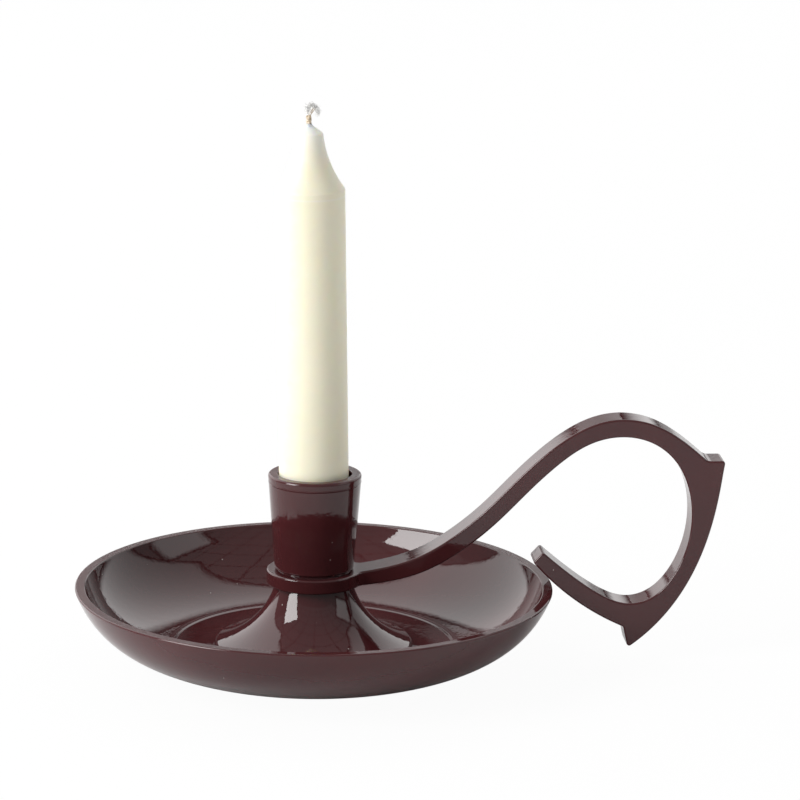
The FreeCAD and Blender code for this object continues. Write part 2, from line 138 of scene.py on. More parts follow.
class NodePlan:
    """Writes the nodes of one tree."""

    def __init__(self, tree: bpy.types.NodeTree) -> None:
        """Start on a tree."""
        self.tree = tree

    @staticmethod
    def find(sockets: Any, key: Any) -> bpy.types.NodeSocket:
        """Find a socket by its number, identifier or name.

        Args:
            sockets: A node's inputs or outputs.
            key: The socket's number, identifier or name.

        Returns:
            The socket.
        """
        if isinstance(key, int):
            return sockets[key]
        named = [socket for socket in sockets if socket.identifier == key]
        return named[0] if named else sockets[key]

    def add(self, kind: str, settings: dict | None = None, inputs: dict | None = None, output: Any = 0) -> Signal:
        """Add one node.

        Args:
            kind: The node's type.
            settings: The node's own settings.
            inputs: Values or signals by input.
            output: The output that is wanted.

        Returns:
            The wanted output.
        """
        node = self.tree.nodes.new(kind)
        for name, value in (settings or {}).items():
            setattr(node, name, value)
        for key, value in (inputs or {}).items():
            self.feed(self.find(node.inputs, key), value)
        return Signal(self, self.find(node.outputs, output) if len(node.outputs) else None)

    def feed(self, socket: bpy.types.NodeSocket, value: Any) -> None:
        """Link a signal to an input, or set the input's own value."""
        if isinstance(value, Signal):
            self.tree.links.new(value.socket, socket)
        else:
            socket.default_value = value

    def blend(self, factor: Any, first: Any, second: Any) -> Signal:
        """Mix two colours.

        Args:
            factor: The share of the second colour.
            first: A colour or signal.
            second: A colour or signal.

        Returns:
            The mixed colour.
        """
        ends = {"A_Color": self.rgba(first), "B_Color": self.rgba(second)}
        return self.add("ShaderNodeMix", {"data_type": "RGBA"}, {"Factor_Float": factor, **ends}, "Result_Color")

    @staticmethod
    def rgba(color: Any) -> Any:
        """Give a plain colour its alpha and leave a signal as it is."""
        return color if isinstance(color, Signal) else (*color, 1.0)

    def place(self) -> Signal:
        """Give the Object coordinates."""
        return self.add("ShaderNodeTexCoord", output="Object")

    def axes(self, where: Signal) -> list[Signal]:
        """Split a vector into its three numbers."""
        node = self.add("ShaderNodeSeparateXYZ", None, {0: where}).socket.node
        return [Signal(self, socket) for socket in node.outputs]

    @staticmethod
    def band(value: Signal, middle: float, half_width: float) -> Signal:
        """Give a soft mask round one value.

        Args:
            value: The signal.
            middle: The value at which the mask is 1, in millimetres.
            half_width: The distance at which the mask is a half, in millimetres.

        Returns:
            The mask.
        """
        away = value - middle * MILLIMETRE
        return 1 - away.math("ABSOLUTE", away).above(half_width * MILLIMETRE, 2 * half_width * MILLIMETRE)

    def noise(self, where: Signal, grain: float, detail: float = 2.0, shift: float = 0.0) -> Signal:
        """Add a noise whose lumps have the given size.

        Args:
            where: The coordinates.
            grain: The size of a lump, in millimetres.
            detail: How many finer layers lie on the lumps.
            shift: An offset that makes the noise another one.

        Returns:
            The noise, from 0 to 1.
        """
        moved = self.add("ShaderNodeVectorMath", {"operation": "ADD"}, {0: where, 1: (shift, shift, shift)})
        sizes = {"Vector": moved, "Scale": 1.0 / (grain * MILLIMETRE), "Detail": detail, "Roughness": 0.5}
        return self.add("ShaderNodeTexNoise", None, sizes)

    def specks(self, where: Signal, spacing: float, radius: float, share: float) -> Signal:
        """Scatter small round specks.

        Args:
            where: The coordinates.
            spacing: The mean distance between cells, in millimetres.
            radius: The radius of a speck, in millimetres.
            share: The share of the cells that hold a speck.

        Returns:
            A mask that is 1 on the specks.
        """
        cells = {"Vector": where, "Scale": 1.0 / (spacing * MILLIMETRE)}
        distance = self.add("ShaderNodeTexVoronoi", None, cells, "Distance")
        chance = self.add("ShaderNodeTexVoronoi", None, cells, "Color")
        split = self.add("ShaderNodeSeparateColor", None, {0: chance})
        dot = 1 - distance.above(radius / spacing, radius / spacing)
        return dot * split.above(1 - share, 0.01)

    def bump(self, height: Signal, depth: float) -> Signal:
        """Turn a height into a normal.

        Args:
            height: The height, as a share of the depth.
            depth: The height's full range, in millimetres.

        Returns:
            The normal.
        """
        return self.add("ShaderNodeBump", None, {"Height": height, "Distance": depth * MILLIMETRE, "Strength": 1.0})


# Finishes


@dataclass(frozen=True)
class Finish:
    """What every finish has: its name and a way to write its surface."""

    name: str

    def surface(self, plan: NodePlan) -> Signal:
        """Write the finish's shader."""
        raise NotImplementedError

    def material(self) -> bpy.types.Material:
        """Make the material, or give the one made before."""
        known = bpy.data.materials.get(self.name)
        if known:
            return known
        material = bpy.data.materials.new(self.name)
        material.use_nodes = True
        material.node_tree.nodes.clear()
        plan = NodePlan(material.node_tree)
        plan.add("ShaderNodeOutputMaterial", None, {"Surface": self.surface(plan)})
        return material


@dataclass(frozen=True)
class Lacquer(Finish):
    """Glossy brushed-on lacquer with orange peel, dust nibs painted light grey as partly dust and partly a painted
    glint, and a few pinholes.
    """

    color: Color = (0.046, 0.0112, 0.0128)
    thin_color: Color = (0.082, 0.0175, 0.0185)
    peel: float = 2.4
    peel_depth: float = 0.020
    ripple: float = 0.8
    ripple_depth_share: float = 0.36
    roughness: float = 0.035
    # Light grey of the nibs: partly the dust's own colour, partly a painted glint.
    dust_and_glint: Color = (0.50, 0.46, 0.43)

    def surface(self, plan: NodePlan) -> Signal:
        """Write the lacquer's shader."""
        place = plan.place()
        cloud = plan.noise(place, grain=30.0, detail=3.0)
        fine = plan.noise(place, grain=4.0, detail=3.0, shift=3.0)
        nibs = plan.specks(place, spacing=5.0, radius=0.20, share=0.32)
        pinholes = plan.specks(place, spacing=9.0, radius=0.20, share=0.25)
        lacquer = plan.blend(cloud.above(0.52, 0.5) * 0.45 + fine * 0.12, self.color, self.thin_color)
        # The nibs are painted light grey: partly the dust's own colour and partly a painted glint on each bump.
        color = plan.blend(nibs * 0.7, lacquer, self.dust_and_glint)
        smears = plan.noise(place, grain=14.0, detail=3.0, shift=5.0)
        roughness = self.roughness + smears.above(0.6, 0.3) * 0.035 + nibs * 0.2
        peel = plan.noise(place, self.peel, detail=1.0, shift=7.0)
        ripple = plan.noise(place, self.ripple, detail=0.5, shift=9.0)
        height = peel + ripple * self.ripple_depth_share + nibs * 0.9 - pinholes * 0.8
        inputs = {
            "Base Color": color,
            "Roughness": roughness,
            "IOR": 1.5,
            "Normal": plan.bump(height, self.peel_depth),
        }
        return plan.add("ShaderNodeBsdfPrincipled", None, inputs)


@dataclass(frozen=True)
class Wax(Finish):
    """Dipped ivory wax: soft sheen, light passing through it, faint dimples and bloom, and a paler crown."""

    color: Color = (0.87, 0.825, 0.65)
    pale: Color = (0.89, 0.865, 0.70)
    crown: Color = (0.90, 0.89, 0.84)
    crown_level: float = 164.0
    crown_blend: float = 16.0
    seam_level: float = 149.6
    seam_half_width: float = 0.25
    dimple_depth: float = 0.02

    def surface(self, plan: NodePlan) -> Signal:
        """Write the wax's shader."""
        place = plan.place()
        bloom = plan.noise(place, grain=18.0, detail=4.0)
        mottle = plan.noise(place, grain=3.0, detail=3.0, shift=2.0)
        body = plan.blend(bloom.above(0.5, 0.6) * 0.5 + mottle * 0.2, self.color, self.pale)
        level = plan.axes(place)[2]
        crown = level.above(self.crown_level * MILLIMETRE, self.crown_blend * MILLIMETRE) * 0.8
        seam = plan.band(level, self.seam_level, self.seam_half_width)
        color = plan.blend(crown + seam * 0.35, body, self.crown)
        fine = plan.noise(place, grain=0.8, detail=2.0, shift=6.0)
        dimples = plan.noise(place, grain=5.0, detail=2.0, shift=4.0) + fine * 0.12
        inputs = {
            "Base Color": color,
            "Roughness": 0.36 + bloom * 0.14,
            "IOR": 1.44,
            "Subsurface Weight": 0.6,
            "Subsurface Radius": (1.0, 0.75, 0.4),
            "Subsurface Scale": 0.004,
            "Normal": plan.bump(dimples, self.dimple_depth),
        }
        return plan.add("ShaderNodeBsdfPrincipled", None, inputs)


@dataclass(frozen=True)
class Cotton(Finish):
    """Wick cotton: waxed and tan in the shaft, pale and fluffy at its end."""

    color: Color = (0.48, 0.36, 0.23)
    pale: Color = (0.70, 0.61, 0.48)
    roughness: float = 0.6

    def surface(self, plan: NodePlan) -> Signal:
        """Write the cotton's shader."""
        place = plan.place()
        streak = plan.noise(place, grain=0.5, detail=3.0)
        fuzz = plan.noise(place, grain=0.15, detail=2.0, shift=3.0)
        color = plan.blend(streak.above(0.5, 0.4), self.color, self.pale)
        inputs = {
            "Base Color": color,
            "Roughness": self.roughness,
            "Normal": plan.bump(fuzz, 0.04),
        }
        return plan.add("ShaderNodeBsdfPrincipled", None, inputs)


@dataclass(frozen=True)
class Felt(Finish):
    """Dark pressed felt."""

    color: Color = (0.022, 0.021, 0.020)
    lint: Color = (0.060, 0.056, 0.052)

    def surface(self, plan: NodePlan) -> Signal:
        """Write the felt's shader."""
        place = plan.place()
        fibre = plan.noise(place, grain=0.5, detail=4.0)
        color = plan.blend(fibre.above(0.6, 0.4), self.color, self.lint)
        inputs = {"Base Color": color, "Roughness": 0.95, "Normal": plan.bump(fibre, 0.25)}
        return plan.add("ShaderNodeBsdfPrincipled", None, inputs)


@dataclass(frozen=True)
class Steel(Finish):
    """Turned zinc-plated steel with fine lathe marks."""

    color: Color = (0.60, 0.60, 0.62)
    stain: Color = (0.48, 0.47, 0.46)

    def surface(self, plan: NodePlan) -> Signal:
        """Write the steel's shader."""
        place = plan.place()
        stain = plan.noise(place, grain=2.5, detail=3.0)
        marks = plan.noise(place, grain=0.2, detail=1.0, shift=4.0)
        color = plan.blend(stain, self.color, self.stain)
        inputs = {
            "Base Color": color,
            "Metallic": 1.0,
            "Roughness": 0.24 + stain * 0.2,
            "Normal": plan.bump(marks, 0.006),
        }
        return plan.add("ShaderNodeBsdfPrincipled", None, inputs)


@dataclass(frozen=True)
class StudioPaper(Finish):
    """The white paper that the object stands on, which shows as a white background with its shadow."""

    color: Color = (0.86, 0.86, 0.86)
    tooth_color: Color = (0.89, 0.89, 0.89)
    camera_share: float = 0.96

    def surface(self, plan: NodePlan) -> Signal:
        """Write the paper's shader."""
        place = plan.place()
        tooth = plan.noise(place, grain=1.2, detail=2.0)
        tint = plan.blend(tooth, self.color, self.tooth_color)
        paper = plan.add("ShaderNodeBsdfDiffuse", None, {"Color": tint, "Normal": plan.bump(tooth, 0.02)})
        glow = plan.add("ShaderNodeEmission", None, {"Color": (1, 1, 1, 1), "Strength": 1.0})
        camera = plan.add("ShaderNodeLightPath", output="Is Camera Ray")
        return plan.add("ShaderNodeMixShader", None, {0: camera * self.camera_share, 1: paper, 2: glow})


@dataclass(frozen=True)
class CeilingTiles(Finish):
    """The dark tiled ceiling above the studio, with darker joints."""

    tile: float = 0.6
    joint: float = 0.024
    light: float = 0.46
    dark: float = 0.05

    def surface(self, plan: NodePlan) -> Signal:
        """Write the ceiling's shader."""
        grid = {"offset": 0.0, "squash": 1.0}
        tones = {"Color1": self.rgba(self.light), "Color2": self.rgba(self.light), "Mortar": self.rgba(self.dark)}
        sizes = {"Scale": 1.0, "Mortar Size": self.joint / 2, "Brick Width": self.tile, "Row Height": self.tile}
        tiles = plan.add("ShaderNodeTexBrick", grid, {"Vector": plan.place(), **tones, **sizes})
        return plan.add("ShaderNodeEmission", None, {"Color": tiles, "Strength": 1.0})

    @staticmethod
    def rgba(tone: float) -> tuple[float, float, float, float]:
        """Give a grey tone as a colour."""
        return (tone, tone, tone, 1.0)


@dataclass(frozen=True)
class SoftScreen(Finish):
    """A lit screen, brighter on one side and fading out at its edges."""

    left: float = 1.0
    right: float = 1.0
    half_width: float = 1.0
    half_height: float = 1.0
    fade: float = 0.2

    def surface(self, plan: NodePlan) -> Signal:
        """Write the screen's shader."""
        side, rise, _ = plan.axes(plan.place())
        across, up = side * (1 / self.half_width), rise * (1 / self.half_height)
        level = (across + 1) * 0.5 * (self.right - self.left) + self.left
        inside = 1 - across.math("ABSOLUTE", across).above(1 - self.fade / 2, self.fade)
        between = 1 - up.math("ABSOLUTE", up).above(1 - self.fade / 2, self.fade)
        return plan.add("ShaderNodeEmission", None, {"Color": level * inside * between, "Strength": 1.0})


LACQUER = Lacquer("burgundy_lacquer_finish")
WAX = Wax("ivory_wax_finish")
WICK_SHAFT = Cotton("waxed_wick_finish")
WICK_TUFT = Cotton("frayed_wick_finish", (0.86, 0.85, 0.83), (0.95, 0.95, 0.94), 0.85)
FELT = Felt("dark_felt_finish")
STEEL = Steel("bright_steel_finish")
PAPER = StudioPaper("studio_paper")


# Outlines


def unit(vector: np.ndarray) -> np.ndarray:
    """Scale a vector to length 1."""
    return vector / np.linalg.norm(vector)


def spline(poles: Sequence[Point], spacing: float = TRACE_SPACING) -> np.ndarray:
    """Trace a clamped uniform cubic spline.

    Args:
        poles: The control points.
        spacing: The distance between the traced points.

    Returns:
        The traced points, from the first pole to the last.
    """
    poles = np.asarray(poles, float)
    count = max(LEAST_TRACED, int(np.linalg.norm(np.diff(poles, axis=0), axis=1).sum() / spacing))
    knots = np.concatenate([[0.0] * 3, np.linspace(0, 1, len(poles) - 2), [1.0] * 3])
    along = np.linspace(0, 1, count)
    along[-1] -= 1e-9
    weights = [(low <= along) & (along < high) for low, high in zip(knots[:-1], knots[1:])]
    weights = [weight.astype(float) for weight in weights]
    for degree in (1, 2, 3):
        raised = []
        for i in range(len(knots) - 1 - degree):
            left, right = knots[i + degree] - knots[i], knots[i + degree + 1] - knots[i + 1]
            value = np.zeros_like(along)
            if left > 0:
                value += (along - knots[i]) / left * weights[i]
            if right > 0:
                value += (knots[i + degree + 1] - along) / right * weights[i + 1]
            raised.append(value)
        weights = raised
    return np.stack(weights, axis=1) @ poles


def part_way(start: float, end: float, share: float) -> float:
    """Give the value that lies a share of the way from one to another."""
    return start + (end - start) * share


class Outline:
    """An outline drawn run by run, whose corners can be rounded."""

    FACETS = 7
    SUPPORT = 0.07

    def __init__(self, start: Point) -> None:
        """Set the pen down."""
        self.pen = start
        self.runs: list[np.ndarray] = []
        self.straight: list[bool] = []
        self.rounds: list[float] = []

    def _add(self, run: np.ndarray, straight: bool, rounding: float) -> "Outline":
        """Keep one run and move the pen to its end."""
        self.runs.append(run)
        self.straight.append(straight)
        self.rounds.append(rounding)
        self.pen = tuple(run[-1])
        return self

    def line(self, across: float, up: float, rounding: float = 0.0) -> "Outline":
        """Draw a straight run whose far corner is rounded."""
        return self._add(np.array([self.pen, (across, up)], float), True, rounding)

    def curve(self, *poles: Point, rounding: float = 0.0) -> "Outline":
        """Draw a smooth run through its poles, whose far corner is rounded."""
        return self._add(spline([self.pen, *poles]), False, rounding)

    def arc(self, end: Point, radius: float, side: int, rounding: float = 0.0) -> "Outline":
        """Draw an arc.

        Args:
            end: The arc's far end.
            radius: The arc's radius.
            side: 1 where the arc bulges to the left of the way, and -1 to the right.
            rounding: The radius of the corner at its far end.

        Returns:
            The outline itself.
        """
        start, stop = np.array(self.pen), np.array(end)
        chord = stop - start
        half = np.linalg.norm(chord) / 2
        outward = unit(np.array([-chord[1], chord[0]])) * side
        middle = (start + stop) / 2 - outward * math.sqrt(radius**2 - half**2)
        first = math.atan2(*(start - middle)[::-1])
        turn = -side * 2 * math.asin(half / radius)
        angles = first + np.linspace(0, turn, max(LEAST_TRACED, int(abs(turn) * radius / TRACE_SPACING)))
        run = middle + radius * np.stack([np.cos(angles), np.sin(angles)], axis=1)
        return self._add(run, False, rounding)

    def ridge(self, axis: int, middle: float, half_width: float, height: float) -> "Outline":
        """Raise a low rounded ridge on the run just drawn, which keeps rising or falling along the axis.

        Args:
            axis: 0 where the ridge is placed by its distance from the axis of turning, 1 by its level.
            middle: Its place.
            half_width: Half its width.
            height: How far it stands out along the other axis.

        Returns:
            The outline itself.
        """
        run = self.runs[-1]
        if self.straight[-1]:
            run = np.array([part_way(run[0], run[-1], share) for share in np.linspace(0, 1, 40)])
            self.straight[-1] = False
        places, others = run[:, axis], run[:, 1 - axis]
        near = np.abs(places - middle) < half_width + 3
        base = np.polynomial.Polynomial.fit(places[near], others[near], 3)
        share = np.linspace(-1, 1, 15)
        raised = np.empty((len(share), 2))
        raised[:, axis] = middle + share * half_width
        raised[:, 1 - axis] = base(raised[:, axis]) + height * np.cos(share * math.pi / 2) ** 2
        merged = np.vstack([run[np.abs(places - middle) > half_width * 1.05], raised])
        forward = math.copysign(1.0, places[-1] - places[0])
        self.runs[-1] = merged[np.argsort(merged[:, axis] * forward, kind="stable")]
        return self

    @staticmethod
    def _shorten(run: np.ndarray, length: float) -> np.ndarray:
        """Cut a length off a run's far end."""
        steps = np.linalg.norm(np.diff(run, axis=0), axis=1)
        left = np.concatenate([np.cumsum(steps[::-1])[::-1], [0.0]])
        kept = run[left > length * 1.0001]
        nxt = len(kept)
        share = (left[nxt - 1] - length) / (left[nxt - 1] - left[nxt])
        return np.vstack([kept, part_way(run[nxt - 1], run[nxt], share)])

    def _rounded(self, closed: bool) -> list[np.ndarray]:
        """Round the corners, and give the runs and arcs in order."""
        runs = [run.copy() for run in self.runs]
        pieces: list[list[np.ndarray]] = [[run] for run in runs]
        last = len(runs) if closed else len(runs) - 1
        for i in range(last):
            radius, j = self.rounds[i], (i + 1) % len(runs)
            if not radius:
                continue
            corner = runs[i][-1]
            back, ahead = unit(runs[i][-2] - corner), unit(runs[j][1] - corner)
            half = math.acos(float(np.clip(back @ ahead, -1, 1))) / 2
            reach = radius / math.tan(half)
            runs[i] = self._shorten(runs[i], reach)
            runs[j] = self._shorten(runs[j][::-1], reach)[::-1]
            middle = corner + unit(back + ahead) * radius / math.sin(half)
            first, final = unit(runs[i][-1] - middle), unit(runs[j][0] - middle)
            sweep = math.acos(float(np.clip(first @ final, -1, 1)))
            facets = max(3, round(self.FACETS * sweep / 1.2))
            shares = np.arange(1, facets) / facets
            turned = [first * math.sin((1 - s) * sweep) + final * math.sin(s * sweep) for s in shares]
            pieces[i] = [runs[i], middle + radius * np.array(turned) / math.sin(sweep)]
        return [np.vstack([self._supported(run, flat), *arcs[1:]])
                for run, flat, arcs in zip(runs, self.straight, pieces)]

    def _supported(self, run: np.ndarray, straight: bool) -> np.ndarray:
        """Put a point close to each end of a straight run, so that its shading stays flat."""
        length = np.linalg.norm(run[-1] - run[0])
        if not straight or length < 4 * self.SUPPORT:
            return run
        near = self.SUPPORT / length
        return np.array([part_way(run[0], run[-1], share) for share in (0, near, 0.5, 1 - near, 1)])

    def traced(self, closed: bool = False) -> np.ndarray:
        """Trace the whole outline.

        Args:
            closed: Whether the last point joins the first.

        Returns:
            The points in order, each once.
        """
        points = np.vstack(self._rounded(closed))
        steps = np.linalg.norm(np.diff(points, axis=0), axis=1)
        points = points[np.concatenate([[True], steps > 1e-5])]
        if closed and np.linalg.norm(points[0] - points[-1]) < 1e-5:
            points = points[:-1]
        return points


# Meshes


def add_object(name: str, mesh: bpy.types.Mesh) -> bpy.types.Object:
    """Put a mesh into the scene under a name."""
    thing = bpy.data.objects.new(name, mesh)
    bpy.context.scene.collection.objects.link(thing)
    return thing


def settle(thing: bpy.types.Object) -> bpy.types.Object:
    """Turn an object and its modifiers into a plain mesh with outward faces.

    Args:
        thing: The object.

    Returns:
        The same object with its finished mesh and no modifiers.
    """
    bpy.context.view_layer.update()
    graph = bpy.context.evaluated_depsgraph_get()
    made = bpy.data.meshes.new_from_object(thing.evaluated_get(graph))
    thing.modifiers.clear()
    thing.data = made
    made.name = thing.name
    corners = np.empty(len(made.vertices) * 3)
    made.vertices.foreach_get("co", corners)
    corners = corners.reshape(-1, 3)
    made.calc_loop_triangles()
    triangles = np.array([triangle.vertices[:] for triangle in made.loop_triangles])
    a, b, c = (corners[triangles[:, k]] for k in range(3))
    if np.einsum("ij,ij->i", a, np.cross(b, c)).sum() < 0:
        made.flip_normals()
    return thing


def start_tree(name: str, sockets: Sequence[tuple[str, str]]) -> tuple[NodePlan, list[Signal]]:
    """Start a Geometry Nodes tree.

    Args:
        name: The tree's name.
        sockets: The inputs as pairs of name and kind, such as Float.

    Returns:
        The plan that writes the tree, and its inputs.
    """
    tree = bpy.data.node_groups.new(name, "GeometryNodeTree")
    for label, kind in sockets:
        tree.interface.new_socket(label, in_out="INPUT", socket_type=f"NodeSocket{kind}")
    tree.interface.new_socket("Piece", in_out="OUTPUT", socket_type="NodeSocketGeometry")
    plan = NodePlan(tree)
    given = tree.nodes.new("NodeGroupInput")
    return plan, [Signal(plan, given.outputs[label]) for label, _ in sockets]


def end_tree(plan: NodePlan, geometry: Signal, finish: Signal) -> bpy.types.NodeTree:
    """End a tree with smooth shading, real geometry and its finish.

    Args:
        plan: The plan that writes the tree.
        geometry: What the tree has made.
        finish: The input that holds the material.

    Returns:
        The finished tree.
    """
    smooth = plan.add("GeometryNodeSetShadeSmooth", None, {"Geometry": geometry})
    real = plan.add("GeometryNodeRealizeInstances", None, {"Geometry": smooth})
    dressed = plan.add("GeometryNodeSetMaterial", None, {"Geometry": real, "Material": finish})
    plan.add("NodeGroupOutput", None, {0: dressed})
    return plan.tree


def run_tree(thing: bpy.types.Object, tree: bpy.types.NodeTree, values: dict[str, Any]) -> bpy.types.Object:
    """Run a tree on an object and keep its result as a plain mesh.

    Args:
        thing: The object.
        tree: The tree.
        values: The tree's inputs by name.

    Returns:
        The object.
    """
    modifier = thing.modifiers.new(tree.name, "NODES")
    modifier.node_group = tree
    for item in tree.interface.items_tree:
        if item.in_out == "INPUT" and item.name in values:
            modifier[item.identifier] = values[item.name]
    return settle(thing)


def finish_piece(thing: bpy.types.Object, body: BodyName, nodes: Sequence[str] = ()) -> None:
    """Hand a finished piece to the frame.

    Args:
        thing: The piece.
        body: The body that it rides on.
        nodes: The CAD nodes that it replaces.
    """
    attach(thing, body.value)
    if nodes:
        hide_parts(*nodes)
    LOG.info("%s: %d faces, on %s", thing.name, len(thing.data.polygons), body.value)


class Lathe:
    """Turns an outline about the vertical axis with Geometry Nodes."""

    CARRIER = 0.01
    tree: bpy.types.NodeTree | None = None

    @classmethod
    def nodes(cls) -> bpy.types.NodeTree:
        """Write the lathe's tree, or give the one written before.

        Returns:
            The tree, with the inputs Profile, Segments, Carrier, Weld and Finish.
        """
        if cls.tree:
            return cls.tree
        plan, (profile, segments, carrier, weld, finish) = start_tree("lathe", (
            ("Profile", "Geometry"), ("Segments", "Int"), ("Carrier", "Float"), ("Weld", "Float"),
            ("Finish", "Material"),
        ))
        half_section = plan.add("GeometryNodeMeshToCurve", None, {0: profile})
        ring = plan.add("GeometryNodeCurvePrimitiveCircle", None, {"Resolution": segments, "Radius": carrier})
        level = plan.add("GeometryNodeSetCurveNormal", {"mode": "Z_UP"}, {"Curve": ring})
        turned = plan.add("GeometryNodeCurveToMesh", None, {"Curve": level, "Profile Curve": half_section})
        welded = plan.add("GeometryNodeMergeByDistance", None, {"Geometry": turned, "Distance": weld})
        cls.tree = end_tree(plan, welded, finish)
        return cls.tree

    @classmethod
    def turn(cls, name: str, points: np.ndarray, finish: Finish, segments: int, closed: bool) -> bpy.types.Object:
        """Turn one outline.

        Args:
            name: The piece's name.
            points: The half section as pairs of radius and level, in millimetres.
            finish: The piece's finish.
            segments: The number of steps round the axis.
            closed: Whether the half section is a ring that stays off the axis.

        Returns:
            The turned piece as a plain mesh.
        """
        corners = [(r * MILLIMETRE - cls.CARRIER, -z * MILLIMETRE, 0.0) for r, z in points]
        edges = [(i, i + 1) for i in range(len(corners) - 1)]
        if closed:
            edges.append((len(corners) - 1, 0))
        profile = bpy.data.meshes.new(name)
        profile.from_pydata(corners, edges, [])
        piece = run_tree(add_object(name, profile), cls.nodes(), {
            "Segments": segments, "Carrier": cls.CARRIER, "Weld": SAME_POINT, "Finish": finish.material(),
        })
        piece.data.set_sharp_from_angle(angle=SHARP_ANGLE)
        return piece


# The holder's pieces


@dataclass
class Levels:
    """The stack's sizes and levels above the table, in millimetres."""

    recess: float = 1.4
    dish_bottom: float = 0.4
    floor: float = 5.4
    lip: float = 25.4
    eye_bottom: float = 26.2
    eye_top: float = 30.7
    socket_top: float = 61.6
    bore_floor: float = 39.6
    bolt_hole_radius: float = 3.3


LEVELS = Levels()


@dataclass
class Dish:
    """The drip dish and the felt pad in its underside."""

    lip_radius: float = 75.0
    lip_width: float = 3.35
    lip_round: float = 0.5
    floor_radius: float = 36.0
    pad_radius: float = 32.2
    pad_gap: float = 0.3
    countersink_radius: float = 6.05
    ring_radius: float = 44.5
    ring_half_width: float = 1.3
    ring_height: float = 0.12
    outside: tuple[Point, ...] = ((0.53, 0.16), (0.84, 0.365))
    inside: tuple[Point, ...] = ((0.46, 0.0), (0.85, 0.30))
    bottom_round: float = 0.25
    recess_round: float = 0.1
    pad_round: float = 0.25
    segments: int = 360
    pad_segments: int = 192

    def outline(self) -> Outline:
        """Draw the dish's half section from its floor outwards, over the lip and back below."""
        lv = LEVELS
        inner = self.lip_radius - self.lip_width
        up_wall = [
            (part_way(self.floor_radius, inner, out), part_way(lv.floor, lv.lip, up)) for out, up in self.inside
        ]
        down_wall = [
            (part_way(self.floor_radius, self.lip_radius, out), part_way(lv.dish_bottom, lv.lip, up))
            for out, up in reversed(self.outside)
        ]
        recess_radius = self.pad_radius + self.pad_gap
        drawn = Outline((lv.bolt_hole_radius, lv.floor))
        drawn.line(self.floor_radius, lv.floor)
        drawn.curve(*up_wall, (inner, lv.lip), rounding=self.lip_round)
        drawn.ridge(0, self.ring_radius, self.ring_half_width, self.ring_height)
        drawn.line(self.lip_radius, lv.lip, rounding=self.lip_round)
        drawn.curve(*down_wall, (self.floor_radius, lv.dish_bottom), rounding=self.bottom_round)
        drawn.line(recess_radius, lv.dish_bottom, rounding=self.recess_round)
        drawn.line(recess_radius, lv.recess)
        drawn.line(self.countersink_radius, lv.recess)
        drawn.line(lv.bolt_hole_radius, lv.recess + self.countersink_radius - lv.bolt_hole_radius)
        return drawn.line(lv.bolt_hole_radius, lv.floor)

    def build(self) -> None:
        """Turn the dish and its pad."""
        dish = Lathe.turn("lacquered_dish", self.outline().traced(closed=True), LACQUER, self.segments, True)
        finish_piece(dish, BodyName.HOLDER, ["dish"])
        pad_outline = Outline((0.0, LEVELS.recess)).line(self.pad_radius, LEVELS.recess)
        pad_outline.line(self.pad_radius, 0.0, rounding=self.pad_round).line(0.0, 0.0)
        pad = Lathe.turn("felt_pad", pad_outline.traced(), FELT, self.pad_segments, False)
        finish_piece(pad, BodyName.HOLDER, ["base_pad"])


@dataclass
class Pedestal:
    """The flared pedestal that carries the handle's eye and the socket."""

    foot_radius: float = 31.0
    foot_edge_height: float = 1.9
    foot_round: float = 1.1
    neck_radius: float = 12.1
    neck_round: float = 0.15
    spigot_radius: float = 7.0
    spigot_end_gap: float = 0.3
    flare: tuple[Point, ...] = ((0.42, 0.17), (0.10, 0.58))
    segments: int = 300

    def outline(self) -> Outline:
        """Draw the pedestal's half section from its spigot down to its foot and back."""
        lv = LEVELS
        edge = lv.floor + self.foot_edge_height
        spigot_end = lv.eye_top - self.spigot_end_gap
        flare = [
            (part_way(self.neck_radius, self.foot_radius, out), part_way(edge, lv.eye_bottom, up))
            for out, up in reversed(self.flare)
        ]
        drawn = Outline((lv.bolt_hole_radius, spigot_end))
        drawn.line(self.spigot_radius, spigot_end)
        drawn.line(self.spigot_radius, lv.eye_bottom)
        drawn.line(self.neck_radius, lv.eye_bottom, rounding=self.neck_round)
        drawn.curve(*flare, (self.foot_radius, edge), rounding=self.foot_round)
        drawn.line(self.foot_radius, lv.floor)
        drawn.line(lv.bolt_hole_radius, lv.floor)
        return drawn.line(lv.bolt_hole_radius, spigot_end)

    def build(self) -> None:
        """Turn the pedestal."""
        piece = Lathe.turn("flared_pedestal", self.outline().traced(closed=True), LACQUER, self.segments, True)
        finish_piece(piece, BodyName.HOLDER, ["pedestal"])


